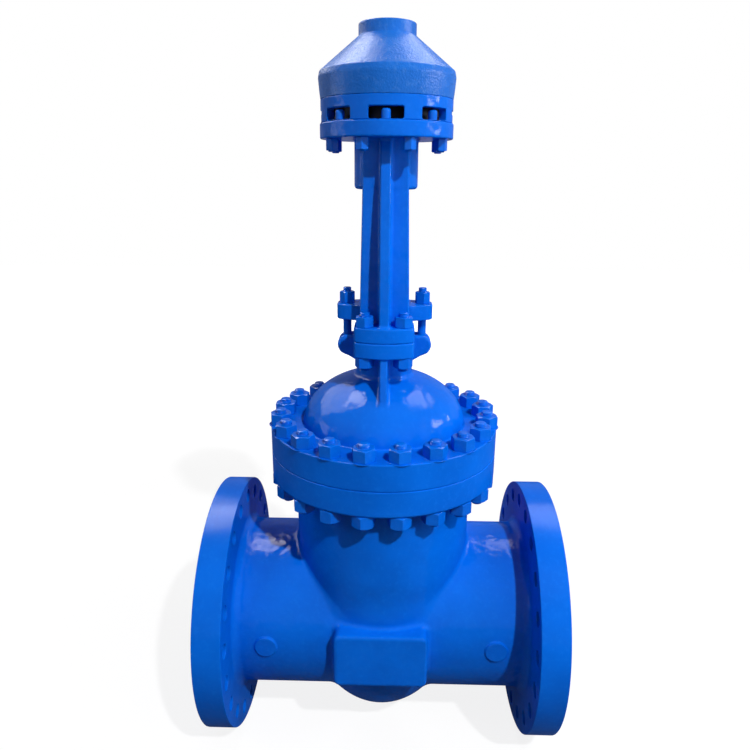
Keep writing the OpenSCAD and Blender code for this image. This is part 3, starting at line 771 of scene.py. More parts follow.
@dataclass(frozen=True)
class Enamel(Finish):
    """Alkyd enamel sprayed over steel: a deep even blue, a clear gloss and the metal's own grain under it.

    Sizes are in millimetres, each with its depth: lump and grain are the width of the casting's waves and of
    its sand grain, and peel is the spacing of the sprayed paint's own orange peel, drawn at twice its real
    spacing so that it shows. The gloss follows the full relief, and the colour under it a share of it.
    """

    rough: float
    grain: tuple[float, float]
    lump: tuple[float, float]
    peel: tuple[float, float] = (3.4, 0.016)
    colour: str = "#0366DA"
    deep: str = "#025DCC"
    pale: str = "#1474E1"
    film: float = 0.155
    film_rough: float = 0.09
    body_relief: float = 1.0

    def looks(self, tree: NodeTree, where: NodeSocket) -> dict[str | int, Link]:
        """Work out the enamel.

        Args:
            tree: The tree that takes the nodes.
            where: The place on the object that patterns follow.

        Returns:
            The shader's inputs.
        """
        body, _ = patches(tree, where, 140, 3.0, (0.35, 0.65, 1.0), linear(self.deep), linear(self.colour))
        skin, _ = patches(tree, where, 11, 4.0, (0.52, 0.8, 0.4), body, linear(self.pale))
        heights = []
        for (size, depth), detail in ((self.lump, 1.0), (self.grain, 3.0), (self.peel, 1.0)):
            heights.append((add(tree, "ShaderNodeTexNoise", cloud(where, size, detail)).outputs[0], depth))

        def relief(share: float) -> NodeSocket:
            """Lay the waves, the grain and the peel on each other at a share of their depth."""
            under: dict[str | int, Link] = {}
            for height, depth in heights:
                step = {"Height": height, "Distance": depth * share * MM, **under}
                under = {"Normal": add(tree, "ShaderNodeBump", step).outputs[0]}
            return under["Normal"]

        wear = add(tree, "ShaderNodeTexNoise", cloud(where, 45, 3.0)).outputs[0]
        worn = {0: wear, 1: 0.3, 2: 0.7, 3: self.rough - 0.03, 4: self.rough + 0.06}
        gloss = add(tree, "ShaderNodeMapRange", worn)
        return {
            "Base Color": skin, "Roughness": gloss.outputs[0], "IOR": 1.5, "Specular IOR Level": 0.0,
            "Coat Weight": self.film, "Coat Roughness": self.film_rough, "Coat Normal": relief(1.0),
            "Normal": relief(self.body_relief)}


@dataclass(frozen=True)
class BareMetal(Finish):
    """Machined metal: turned rings or ground streaks, with a film of oil or of age. The bearing's near-black
    colours are painted shade.
    """

    colour: str
    film: str
    rough: float
    film_share: float
    groove: float
    groove_depth: float

    def looks(self, tree: NodeTree, where: NodeSocket) -> dict[str | int, Link]:
        """Work out the metal.

        Args:
            tree: The tree that takes the nodes.
            where: The place on the object that patterns follow.

        Returns:
            The shader's inputs.
        """
        span = (0.4, 0.7, self.film_share)
        colour, oil = patches(tree, where, 40, 4.0, span, linear(self.colour), linear(self.film))
        rings = add(tree, "ShaderNodeTexNoise", cloud(where, self.groove, 2.0))
        bump = add(tree, "ShaderNodeBump", {"Height": rings.outputs[0], "Distance": self.groove_depth * MM})
        worn = {0: oil, 1: 0.3, 2: 0.75, 3: self.rough, 4: self.rough + 0.22}
        gloss = add(tree, "ShaderNodeMapRange", worn)
        return {
            "Base Color": colour, "Roughness": gloss.outputs[0], "Metallic": 1.0, "Normal": bump.outputs[0]}


@dataclass(frozen=True)
class PressedGraphite(Finish):
    """Pressed graphite: nearly black, with a dull sheen and fine flakes."""

    colour: str = "#26272A"
    flake: str = "#3C3E42"

    def looks(self, tree: NodeTree, where: NodeSocket) -> dict[str | int, Link]:
        """Work out the graphite.

        Args:
            tree: The tree that takes the nodes.
            where: The place on the object that patterns follow.

        Returns:
            The shader's inputs.
        """
        span = (0.4, 0.7, 1.0)
        colour, flakes = patches(tree, where, 1.5, 3.0, span, linear(self.colour), linear(self.flake))
        bump = add(tree, "ShaderNodeBump", {"Height": flakes, "Distance": 0.05 * MM})
        return {"Base Color": colour, "Roughness": 0.55, "Normal": bump.outputs[0]}


class Paintshop:
    """Every finish on the valve, built once."""

    def __init__(self) -> None:
        """Build the finishes."""
        # turned flanges: the enamel lies flat and even, so edges and reflections stay crisp
        self.machined = Enamel(
            "blue_enamel_on_turned_steel", 0.3, (9, 0.04), (70, 0.25), film_rough=0.2).material()
        # sand castings: a faint grain and slow waves from the mould break up the gloss
        self.casting = Enamel(
            "blue_enamel_on_sand_casting", 0.32, (7, 0.45), (30, 3.2), body_relief=0.3).material()
        # the cover's mould was coarser: its grain shows through the paint, its gloss is softer and its blue
        # is paler and greyer than on the other castings
        self.rough_casting = Enamel(
            "blue_enamel_on_coarse_casting", 0.36, (4.2, 0.9), (26, 1.0), colour="#1F69C8",
            deep="#165FBA", pale="#4A82CB", film=0.22, film_rough=0.26).material()
        # nuts and studs: thick paint, softer at the corners
        self.bolting = Enamel(
            "blue_enamel_on_bolting", 0.28, (4, 0.05), (20, 0.1), film=0.24, film_rough=0.06).material()
        # turned seats and wedge: bright steel with fine rings and a trace of oil
        self.steel = BareMetal("turned_steel", "#B9BBBE", "#8C8A84", 0.22, 0.5, 2.2, 0.02).material()
        # the stem: ground steel under a thin brown grease
        self.stem = BareMetal("greased_ground_steel", "#A9A8A4", "#6B5A3C", 0.28, 0.7, 1.6, 0.02).material()
        # the thrust bearing: hardened steel under thick old grease; both colours are darkened near black as
        # painted shade for the unlit inside of the housing
        self.bearing = BareMetal(
            "bearing_steel_darkened_as_painted_shade", "#191B22", "#101116", 0.45, 0.9, 2.5, 0.03).material()
        # the stem nut: machined aluminium bronze, browned by grease
        self.bronze = BareMetal(
            "browned_aluminium_bronze", "#7A5A30", "#3B2A17", 0.38, 0.8, 2.0, 0.03).material()
        # gasket and packing: flakes of graphite pressed into a dull black ring
        self.graphite = PressedGraphite("pressed_graphite").material()


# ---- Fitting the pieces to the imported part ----


class Slot(Enum):
    """Names of the material slots."""

    BLUE = "blue_paint"
    STEEL = "machined_steel"


def install(piece: Object, finish: Material, slot: Slot, *nodes: str) -> None:
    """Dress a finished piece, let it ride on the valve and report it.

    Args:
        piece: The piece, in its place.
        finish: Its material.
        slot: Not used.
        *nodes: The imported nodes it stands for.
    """
    piece.data.materials.clear()
    piece.data.materials.append(finish)
    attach(piece, "root")
    if nodes:
        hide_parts(*nodes)
    LOG.info("%s: %d faces", piece.name, len(piece.data.polygons))


def keep(finish: Material, *nodes: str) -> None:
    """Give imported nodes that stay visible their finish.

    Args:
        finish: Their material.
        *nodes: The nodes' names.
    """
    for node in nodes:
        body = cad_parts[node]
        if not body.data.materials:
            body.data.materials.append(finish)
        for slot in body.material_slots:
            slot.material = finish
        LOG.info("%s: packed shape kept", node)


@dataclass(frozen=True)
class Circle:
    """Places round an axis: how many, how far out, and the first one's angle from the local x axis."""

    count: int
    radius: float
    first: float = 0.0


@dataclass
class Works:
    """What every sub-assembly shares: the finishes, the ring tree and the blanks it copies."""

    shop: Paintshop
    tree: NodeTree
    blanks: list[Object] = field(default_factory=list)

    def ring(
        self, blank: Object, places: Circle, height: float, spin: float = 0.0, seed: int = 1,
        finish: Material | None = None, carry: Matrix = TO_MIDDLE,
    ) -> Object:
        """Copy a blank round an axis.

        Args:
            blank: The piece to copy, about the local origin.
            places: Where its copies go.
            height: Their height along the axis.
            spin: The most that each is turned about itself, in degrees, either way.
            seed: The seed of that turn.
            finish: Their material; the bolting's if none is given.
            carry: Where the local axis goes.

        Returns:
            The ring as one plain mesh.
        """
        if blank not in self.blanks:
            self.blanks.append(blank)
        values = {
            "Piece": blank, "Count": places.count, "Radius": places.radius * MM, "Height": height * MM,
            "First Angle": math.radians(places.first), "Spin": math.radians(spin), "Seed": seed,
            "Finish": finish or self.shop.bolting}
        return grow("ring", self.tree, values, carry)

    def bolt(self, name: str, node: str, *rings: Object) -> None:
        """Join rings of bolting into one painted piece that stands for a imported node."""
        install(merged(name, rings), self.shop.bolting, Slot.BLUE, node)

    def clear(self) -> None:
        """Take the blanks away once every ring is made."""
        for blank in self.blanks:
            bpy.data.objects.remove(blank)
        self.blanks.clear()


# ---- Body ----


@dataclass
class Body:
    """The cast body: an oval bowl between two necks, its panels and bosses, and three drilled flanges."""

    works: Works
    neck_r: float = 212.0
    port_r: float = 190.5
    wall: float = 17.0
    oval: float = 14.0
    widths: tuple[tuple[float, float], ...] = ((0, 207), (138, 208.5), (192, 218), (245, 221), (397, 224.5))
    depth: float = 280.0
    room: tuple[float, float, float] = (239.0, 356.0, 227.3)
    room_edge: float = 18.0
    crease: float = 12.0
    back_fillet: float = 20.0
    seat: tuple[float, float] = (64.0, 0.0875)
    seat_room: tuple[float, float] = (96.0, 14.4)
    liner_room: float = 7.5
    casting_end: float = 395.0
    casting_top: float = 20.0
    flange_back: float = 365.2
    flange_face: float = 434.0
    flange_r: float = 324.0
    flange_root: float = 238.0
    flange_edge: float = 2.0
    sector_in: float = 225.0
    holes: Circle = Circle(20, 285.75)
    hole_r: float = 17.5
    hole_edge: float = 1.2
    hole_land: float = 8.0
    raised_r: float = 235.0
    raised_h: float = 2.0
    panel: tuple[float, float, float] = (113.0, 71.5, 17.0)
    panel_z: float = -4.5
    panel_y: float = 250.0
    panel_edge: float = 7.0
    panel_fillet: float = 11.0
    boss_at: tuple[float, float] = (282.5, 4.0)
    boss_r: float = 27.0
    boss_y: tuple[float, float] = (196.0, 216.4)
    boss_foot: float = 3.0
    joint_z: tuple[float, float] = (397.0, 460.0)
    joint_r: float = 281.0
    joint_in: float = 196.0
    joint_root: float = 262.0
    joint_fillet: float = 4.0
    spigot: tuple[float, float, float] = (242.0, 1.7, 1.9)

    def half_width(self, z: Array) -> Array:
        """Half the bowl's width at a height: straight at the pipe, then swelling to the joint.

        Args:
            z: Height.

        Returns:
            Half the width, with its corners smoothed.
        """
        heights, values = zip(*self.widths)
        grid = np.linspace(heights[0], heights[-1], 60)
        kernel = np.hanning(11)
        padded = np.pad(np.interp(grid, heights, values), 5, mode="reflect", reflect_type="odd")
        return np.interp(z, grid, np.convolve(padded, kernel / kernel.sum(), mode="valid"))

    def bowl(self, x: Array, y: Array, z: Array, inset: float) -> Array:
        """Distance to the bowl, or to the room inside it.

        Args:
            x: Along the pipe.
            y: From front to rear.
            z: Height.
            inset: How far inside the outer skin.

        Returns:
            Distance, negative inside.
        """
        r = np.hypot(x, np.maximum(np.abs(y) - self.oval, 0))
        below = spheroid(r, z, self.widths[0][1] - inset, self.depth - inset)
        above = r - self.half_width(z) + inset
        room = np.hypot(x, y) - slope(z, 0, *self.room) + inset
        return meet(np.where(z < 0, below, above), room, self.room_edge)

    def solid(self, x: Array, y: Array, z: Array) -> Array:
        """Distance to the whole casting.

        Args:
            x: Along the pipe.
            y: From front to rear.
            z: Height.

        Returns:
            Distance, negative inside.
        """
        ax, ay, rho = np.abs(x), np.abs(y), np.hypot(y, z)
        low, high = self.joint_z
        joint = np.maximum(between(z, low + SEAM, high), np.hypot(x, y) - self.joint_root)
        shell = join(self.bowl(x, y, z, 0.0), joint, self.joint_fillet)
        back = np.maximum(self.flange_back + SEAM - ax, rho - self.flange_root)
        shell = join(shell, join(rho - self.neck_r, back, self.back_fillet), self.crease)
        half_w, half_h, corner = self.panel
        panel = rounded_box(x, z - self.panel_z, half_w, half_h, corner)
        shell = join(shell, meet(panel, ay - self.panel_y, self.panel_edge), self.panel_fillet)
        seat_x, lean = self.seat
        tube = np.maximum(rho - self.neck_r, seat_x + lean * z - ax)
        inner = np.maximum(self.bowl(x, y, z, self.wall), -tube)
        reach, wide = self.seat_room
        seat_room = np.maximum(rho - self.port_r - wide, ax - reach)
        bore = np.minimum(seat_room, rho - self.port_r - self.liner_room)
        shell = cut(shell, np.minimum(inner, bore))
        return np.maximum(shell, np.maximum(ax - self.casting_end, z - high + self.casting_top))

    def sector(self) -> Object:
        """Make one drilled sector of an end flange, about the local z axis.

        Returns:
            The sector as a blank, with its sides open for its neighbours.
        """
        steps = 8
        around = 4 * steps
        half = math.pi / self.holes.count
        back, face, inner, edge = self.flange_back, self.flange_face, self.sector_in, self.flange_edge
        outer = self.flange_r - edge
        share = np.arange(steps) / steps
        radii = [
            np.full(steps, outer), outer + (inner - outer) * share,
            np.full(steps, inner), inner + (outer - inner) * share]
        turns = [
            half * (2 * share - 1), np.full(steps, half),
            half * (1 - 2 * share), np.full(steps, -half)]
        rim = ring_points(np.concatenate(radii), 0, np.concatenate(turns))[:, :2]
        centre = np.array([self.holes.radius, 0.0])
        away = rim - centre
        away /= np.linalg.norm(away, axis=1, keepdims=True)
        hole, ease = self.hole_r, self.hole_edge
        bore = [(hole + self.hole_land, face), (hole + ease, face), (hole, face - ease)]
        bore += [(r, face + back - z) for r, z in reversed(bore)]
        rows = [(rim, face), *((centre + away * r, z) for r, z in bore), (rim, back)]
        points = [np.column_stack([p, np.full(around, z)]) for p, z in rows]
        faces = [ring_faces(len(rows), around, False)]
        base = len(rows) * around
        bends = np.radians((30, 60, 90))
        eased = [(outer + edge * math.sin(a), face - edge + edge * math.cos(a)) for a in bends]
        eased += [(r, face + back - z) for r, z in reversed(eased)]
        across = np.linspace(-half, half, steps + 1)
        points += [ring_points(r, z, across) for r, z in eased]
        chain = [np.arange(steps + 1) + at for at in (
            0, *(base + i * (steps + 1) for i in range(len(eased))), base - around)]
        pairs = [*zip(chain, chain[1:]), (chain[0] + 2 * steps, chain[-1] + 2 * steps)]
        faces += [np.stack([a[:-1], b[:-1], b[1:], a[1:]], 1) for a, b in pairs]
        return blank_object("flange_sector", np.concatenate(points), np.concatenate(faces))

    def end_flange(self, name: str, sector: Object, side: Axis) -> Object:
        """Copy the sector round the pipe and close the flange.

        Args:
            name: The flange's name.
            sector: The drilled sector.
            side: The pipe end that it goes on.

        Returns:
            The drilled flange.
        """
        carry = TO_MIDDLE @ Matrix(side.value).to_4x4()
        places = Circle(self.holes.count, 0, 180 / self.holes.count)
        sectors = self.works.ring(sector, places, 0, finish=self.works.shop.machined, carry=carry)
        flange = merged(name, [sectors])
        weld(flange, WELD * MM)
        flange.data.set_sharp_from_angle(angle=math.radians(40))
        return weighed(flange)

    def liner(self, name: str, side: Axis) -> Object:
        """Turn the port and the raised face of one end.

        Args:
            name: The liner's name.
            side: The pipe end that it goes on.

        Returns:
            The liner.
        """
        face = self.flange_face + self.raised_h
        start, root, sleeve = self.seat_room[0], face - 4 * self.raised_h, self.port_r + self.liner_room + 2
        return turned(name, outline([
            (self.port_r, start, 1), (sleeve, start, 0), (sleeve, root, 0), (self.raised_r, root, 0),
            (self.raised_r, face, 0.8), (self.port_r, face, 2)]), 192, side)

    def joint_disc(self) -> Object:
        """Turn the body's half of the bonnet joint, with a spigot that leaves only a thin line at the rim.

        Returns:
            The disc.
        """
        low, high = self.joint_z
        inner, line, rise = self.spigot
        edge, top = self.joint_r - line, high + rise
        return turned("body_joint_flange", outline([
            (self.joint_in, low, 0), (self.joint_r, low, 7), (self.joint_r, high, 1.5), (edge, high, 0),
            (edge, top, 0.5), (inner, top, 0), (inner, high, 0), (self.joint_in, high, 2)], 6), 240)

    def boss(self, x: Array, y: Array, z: Array) -> Array:
        """Distance to a round boss on the neck, with a crisp face and a soft foot.

        Args:
            x: Along the pipe.
            y: From front to rear.
            z: Height.

        Returns:
            Distance, negative inside.
        """
        rise = np.abs(y) - np.sqrt(np.maximum(self.neck_r**2 - z * z, 0))
        boss_x, boss_z = self.boss_at
        foot = self.boss_foot * np.clip(1 - rise / self.boss_foot, 0, 1) ** 2
        disc = np.hypot(np.abs(x) - boss_x, z - boss_z) - self.boss_r - foot
        return meet(disc, between(np.abs(y), *self.boss_y), 2)

    def bosses(self) -> Object:
        """Cast the four bosses on the necks.

        Returns:
            The bosses as one piece.
        """
        (x, z), r = self.boss_at, self.boss_r + self.boss_foot
        parts = []
        for side_x, side_y in ((-1, -1), (-1, 1), (1, -1), (1, 1)):
            wide = sorted((side_x * (x - r), side_x * (x + r)))
            deep = sorted(side_y * y for y in self.boss_y)
            skin = pour(self.boss, (wide[0], deep[0], z - r), (wide[1], deep[1], z + r), 2.2)
            parts.append(cast("boss", skin))
        return merged("neck_bosses", parts)

    def build(self) -> None:
        """Make the body, dress it and fit it."""
        shop, reach = self.works.shop, self.casting_end + 2
        high = (reach, self.panel_y, self.joint_z[1] - 18)
        install(cast("body_casting", pour(self.solid, (-reach, -self.panel_y, -self.depth), high, 6.7)),
                shop.casting, Slot.BLUE, "body")
        install(self.bosses(), shop.casting, Slot.BLUE)
        sector = self.sector()
        for word, side in (("left", Axis.PIPE_LEFT), ("right", Axis.PIPE_RIGHT)):
            install(self.end_flange("end_flange_" + word, sector, side), shop.machined, Slot.BLUE)
            install(self.liner("port_" + word, side), shop.machined, Slot.BLUE)
        install(self.joint_disc(), shop.machined, Slot.BLUE)


# ---- Bonnet ----


@dataclass
class Bonnet:
    """The cast bonnet: a flanged dome, the stuffing box, its ribs, the top plate and the gland's lobes."""

    works: Works
    joint_z: tuple[float, float] = (462.0, 525.0)
    joint_r: float = 281.0
    joint_in: float = 178.0
    joint_root: float = 252.0
    skirt: float = 22.0
    dome_r: float = 200.5
    dome_h: float = 131.0
    wall: float = 20.0
    box_r: float = 68.0
    plate_z: tuple[float, float] = (717.0, 753.5)
    plate_r: float = 136.0
    plate_w: float = 69.0
    lobe: tuple[float, float, float] = (89.3, 725.0, 23.5)
    lobe_y: float = 26.0
    haunch: tuple[float, float, float] = (104.0, 708.0, 686.5)
    fork: float = 11.0
    fork_x: float = 71.0
    rib: float = 9.0
    rib_y: tuple[float, float, float] = (130.0, 616.0, 150.0)
    stem_r: float = 26.6
    packing_gap: float = 0.4

    def lobes(self, x: Array, y: Array, z: Array) -> Array:
        """Distance to the two forked lobes that hold the gland's pins, with their haunches.

        Args:
            x: Along the pipe.
            y: From front to rear.
            z: Height.

        Returns:
            Distance, negative inside.
        """
        ax, ay = np.abs(x), np.abs(y)
        lobe_x, lobe_z, lobe_r = self.lobe
        reach, tip, root = self.haunch
        run, fall = reach - self.plate_w, tip - root
        under = ((ax - reach) * fall - (z - tip) * run) / math.hypot(run, fall)
        haunch = np.maximum(np.maximum(under, root - z), np.maximum(z - lobe_z, ax - reach))
        lobe = join(np.hypot(np.maximum(ax - lobe_x, 0), z - lobe_z) - lobe_r, haunch, 5)
        return cut(meet(lobe, ay - self.lobe_y, 6), np.maximum(ay - self.fork, self.fork_x - ax), 2)

    def solid(self, x: Array, y: Array, z: Array) -> Array:
        """Distance to the whole casting.

        Args:
            x: Along the pipe.
            y: From front to rear.
            z: Height.

        Returns:
            Distance, negative inside.
        """
        ax, ay, r = np.abs(x), np.abs(y), np.hypot(x, y)
        base = self.joint_z[1]
        low, high = self.plate_z
        shape = spheroid(r, z - base, self.dome_r, self.dome_h)
        shape = join(shape, np.maximum(between(z, base - 30, base - SEAM), r - self.joint_root), 4)
        shape = join(shape, np.maximum(r - self.box_r, between(z, base, low + 10)), 9)
        rib = meet(ax - self.rib, ay - slope(z, low, *self.rib_y), 2.5)
        shape = join(shape, np.maximum(rib, between(z, base + 40, low + 8)), 8)
        plate = meet(rounded_box(x, y, self.plate_w, 200, 6), r - self.plate_r, 6)
        shape = join(shape, meet(plate, between(z, low, high), 3), 7)
        shape = join(shape, self.lobes(x, y, z), 5)
        inner_r = self.dome_r - self.wall
        room = np.where(z > base, spheroid(r, z - base, inner_r, self.dome_h - self.wall), r - inner_r)
        pack_low, pack_high = node_box("packing")
        pack_r = (pack_high[0] - pack_low[0]) / 2
        box = np.minimum(np.maximum(r - pack_r - self.packing_gap, pack_low[2] - z), r - self.stem_r)
        return np.maximum(cut(shape, np.minimum(room, box)), base - self.skirt - z)

    def joint_disc(self) -> Object:
        """Turn the bonnet's half of the joint.

        Returns:
            The disc.
        """
        (low, high), inner, outer = self.joint_z, self.joint_in, self.joint_r
        corners = [(inner, low, 0), (outer, low, 2), (outer, high, 3), (inner, high, 0)]
        return turned("bonnet_joint_flange", outline(corners, 6), 240)

    def build(self) -> None:
        """Make the bonnet, dress it and fit it."""
        shop, wide = self.works.shop, self.joint_root
        low, high = (-wide, -wide, self.joint_z[1] - self.skirt - 2), (wide, wide, self.plate_z[1])
        install(cast("bonnet_casting", pour(self.solid, low, high, 3.6)), shop.casting, Slot.BLUE, "bonnet")
        install(self.joint_disc(), shop.machined, Slot.BLUE)
        keep(shop.graphite, "bonnet_gasket", "packing")


@dataclass
class Joint:
    """The studs and nuts that hold the bonnet, with a spot face under each upper nut."""

    works: Works
    places: Circle = Circle(20, 256.0, 9.0)
    bolting: Bolting = Bolting(13.5, 3.5, 48.0, 30.0, proud=10.0, hidden=8.0, edge=0.9)
    faces: tuple[float, float] = (525.0, 397.0)
    seat_r: float = 30.0

    def build(self) -> None:
        """Make both rows of nuts with their stud ends, dress them and fit them."""
        works, places, bolting = self.works, self.places, self.bolting
        upper, lower = self.faces
        hole, rim = bolting.stud_r, self.seat_r
        corners = [(hole, -1, 0), (rim - 0.4, -1, 0), (rim, 0.7, 0.5), (hole, 1, 0)]
        seats = works.ring(local(turned("nut_seat", outline(corners), 48)), places, upper)
        nut = bolting.nut()
        nuts = works.ring(nut, places, upper, 28, 3)
        works.bolt("bonnet_nuts_upper_row", "bonnet_nuts_upper", nuts, seats)
        nuts = works.ring(nut, places, lower - bolting.nut_h, 28, 8)
        works.bolt("bonnet_nuts_lower_row", "bonnet_nuts_lower", nuts)
        tops = works.ring(bolting.end(), places, upper, 180, 5)
        feet = works.ring(bolting.end(downward=True), places, lower, 180, 6)
        works.bolt("bonnet_stud_ends", "bonnet_studs", tops, feet)


# ---- Gland ----


@dataclass
class Gland:
    """The gland flange that two swinging eyebolts pull down on the packing."""

    works: Works
    half_l: float = 113.5
    end_y: float = 30.0
    corner: float = 11.0
    middle: float = 48.0
    z: tuple[float, float] = (787.5, 824.0)
    stem_hole_r: float = 27.2
    bolting: Bolting = Bolting(10.0, 2.5, 32.0, 27.0, proud=10.0, hidden=33.0)
    places: Circle = Circle(2, 90.0)
    bolt_gap: float = 1.4
    pin_z: float = 722.0
    pin: tuple[float, float] = (8.0, 25.0)
    pin_gap: float = 0.3
    eye_r: float = 18.0
    shank_z: float = 827.0

    def solid(self, x: Array, y: Array, z: Array) -> Array:
        """Distance to the gland flange.

        Args:
            x: Along the pipe.
            y: From front to rear.
            z: Height.

        Returns:
            Distance, negative inside.
        """
        ax, ay = np.abs(x), np.abs(y)
        run, fall = self.half_l - self.corner - self.middle, self.middle - self.end_y
        flank = ((ax - self.middle) * fall + (ay - self.middle) * run) / math.hypot(run, fall)
        tips = (ax - self.half_l + ay - self.end_y + self.corner) / math.sqrt(2)
        plan = meet(meet(ax - self.half_l, tips, 5), flank, 6)
        shape = meet(meet(plan, ay - self.middle, 6), between(z, *self.z), 3)
        bolt = np.hypot(ax - self.places.radius, y) - self.bolting.stud_r - self.bolt_gap
        return cut(shape, np.minimum(np.hypot(x, y) - self.stem_hole_r, bolt), 1)

    def eye(self, x: Array, y: Array, z: Array) -> Array:
        """Distance to an eyebolt's eye and the root of its shank, about its own axis.

        Args:
            x: Along the pipe.
            y: Along the pin.
            z: Height.

        Returns:
            Distance, negative inside.
        """
        around, r = np.hypot(x, z - self.pin_z), self.bolting.stud_r
        shank = np.maximum(np.hypot(x, y) - r, between(z, self.pin_z, self.shank_z))
        bolt = join(meet(around - self.eye_r, np.abs(y) - r, 3), shank, 5)
        return cut(bolt, around - self.pin[0] - self.pin_gap, 0.8)

    def build(self) -> None:
        """Make the gland, dress it and fit it."""
        works, places, bolting = self.works, self.places, self.bolting
        low, high = self.z
        skin = pour(self.solid, (-self.half_l, -self.middle, low), (self.half_l, self.middle, high), 2.2)
        install(cast("gland_plate", skin), works.shop.casting, Slot.BLUE, "gland_flange")
        reach, thick = self.eye_r, bolting.stud_r
        skin = pour(self.eye, (-reach, -thick, self.pin_z - reach), (reach, thick, self.shank_z), 1.6)
        eyes = works.ring(local(cast("eye", skin)), places, 0)
        works.bolt("eyebolts", "gland_eyebolts", eyes, works.ring(bolting.end(), places, high, 90, 2))
        works.bolt("gland_nut_pair", "gland_nuts", works.ring(bolting.nut(), places, high, 20, 4))
        pin_r, half_l = self.pin
        corners = [(POLE, -half_l, 0), (pin_r, -half_l, 1.5), (pin_r, half_l, 1.5), (POLE, half_l, 0)]
        pin = local(turned("pin", outline(corners), 40, Axis.FRONT))
        works.bolt("gland_pin_pair", "gland_pins", works.ring(pin, places, self.pin_z))
        keep(works.shop.steel, "gland_follower")


# ---- Yoke, stem and bearing housing ----


@dataclass
class Yoke:
    """The cast yoke: two feet, two leaning arms with webs, the hub and the housing's flange."""

    works: Works
    foot_z: tuple[float, float] = (753.5, 788.0)
    foot_gap: float = 52.0
    plate_r: float = 136.0
    plate_w: float = 69.0
    plate_under: float = 717.0
    arm_t: float = 20.0
    arm_w: tuple[float, float] = (57.3, 51.3)
    arm_y: tuple[float, float] = (80.5, 72.0)
    web: float = 11.5
    web_y: tuple[float, float, float, float] = (850.0, 127.5, 0.0233, 0.000306)
    hub_z: tuple[float, float] = (1086.0, 1192.6)
    hub_r: float = 72.0
    nut_r: float = 48.0
    flange_z: float = 1225.6
    flange_r: float = 148.5
    stud_at: tuple[float, float] = (44.0, 105.0)
    bolting: Bolting = Bolting(12.0, 3.0, 39.0, 24.0, proud=9.0, hidden=6.0)

    def solid(self, x: Array, y: Array, z: Array) -> Array:
        """Distance to the whole casting.

        Args:
            x: Along the pipe.
            y: From front to rear.
            z: Height.

        Returns:
            Distance, negative inside.
        """
        ax, ay, r = np.abs(x), np.abs(y), np.hypot(x, y)
        low, high = self.foot_z
        hub_low, hub_high = self.hub_z
        plan = meet(rounded_box(x, y, self.plate_w, 200, 6), r - self.plate_r, 6)
        foot = meet(meet(plan, self.foot_gap - ay, 4), between(z, low, high), 3)
        outer, half_w = (slope(z, high, foot, hub_low, hub) for foot, hub in (self.arm_y, self.arm_w))
        arm = meet(np.abs(ay - outer + self.arm_t / 2) - self.arm_t / 2, ax - half_w, 4)
        turn, reach, lean, sweep = self.web_y
        edge = reach - lean * (z - turn) - sweep * np.maximum(z - turn, 0) ** 2
        web = np.maximum(meet(ax - self.web, ay - edge, 3), outer - self.arm_t / 2 - ay)
        arm = np.maximum(join(arm, web, 8), between(z, high - 10, self.flange_z - 10))
        hub = meet(r - self.hub_r, between(z, hub_low, self.flange_z - 5), 8)
        top = meet(r - self.flange_r, between(z, hub_high, self.flange_z), 3)
        return cut(join(join(foot, arm, 8), join(hub, top, 8), 8), r - self.nut_r, 1.5)

    def feet_bolts(self) -> None:
        """Make the studs and nuts of the feet, dress them and fit them."""
        works, bolting = self.works, self.bolting
        (x, y), top, under = self.stud_at, self.foot_z[1], self.plate_under
        angle = math.degrees(math.atan2(y, x))

        def pairs(blank: Object, height: float, spin: float, seed: int) -> list[Object]:
            """Copy a blank to the four studs."""
            spots = [Circle(2, math.hypot(x, y), a) for a in (angle, -angle)]
            return [works.ring(blank, spot, height, spin, seed + n) for n, spot in enumerate(spots)]

        nut = bolting.nut()
        works.bolt("foot_nuts_upper", "yoke_nuts_upper", *pairs(nut, top, 25, 11))
        works.bolt("foot_nuts_lower", "yoke_nuts_lower", *pairs(nut, under - bolting.nut_h, 25, 14))
        ends = pairs(bolting.end(), top, 90, 17) + pairs(bolting.end(downward=True), under, 90, 19)
        works.bolt("foot_stud_ends", "yoke_studs", *ends)

    def build(self) -> None:
        """Make the yoke, dress it and fit it."""
        shop, wide = self.works.shop, self.flange_r
        skin = pour(self.solid, (-wide, -wide, self.foot_z[0]), (wide, wide, self.flange_z), 3.0)
        install(cast("yoke_casting", skin), shop.casting, Slot.BLUE, "yoke")
        self.feet_bolts()
        keep(shop.bronze, "stem_nut")
        # the bearing's near-black colour is painted shade for the unlit inside of the housing
        keep(shop.bearing, "thrust_bearing")


@dataclass
class Stem:
    """The rising stem, with a trapezoidal thread where it shows between the arms."""

    works: Works
    radius: float = 26.0
    proud: float = 1.6
    pitch: float = 9.0
    z: tuple[float, float] = (868.0, 1084.0)

    def build(self) -> None:
        """Wind the thread, dress the stem and the wedge behind it."""
        shop = self.works.shop
        keep(shop.stem, "stem")
        low, high = self.z
        carry = Matrix.Translation(Vector(place([0.0, 0.0, low])))
        values = {"Radius": (self.radius + self.proud / 2) * MM, "Depth": self.proud / 2 * MM,
                  "Pitch": self.pitch * MM, "Length": (high - low) * MM, "Finish": shop.stem}
        install(grow("stem_thread", screw_tree(), values, carry), shop.stem, Slot.STEEL)
        keep(shop.steel, "wedge", "seat_ring_left", "seat_ring_right")


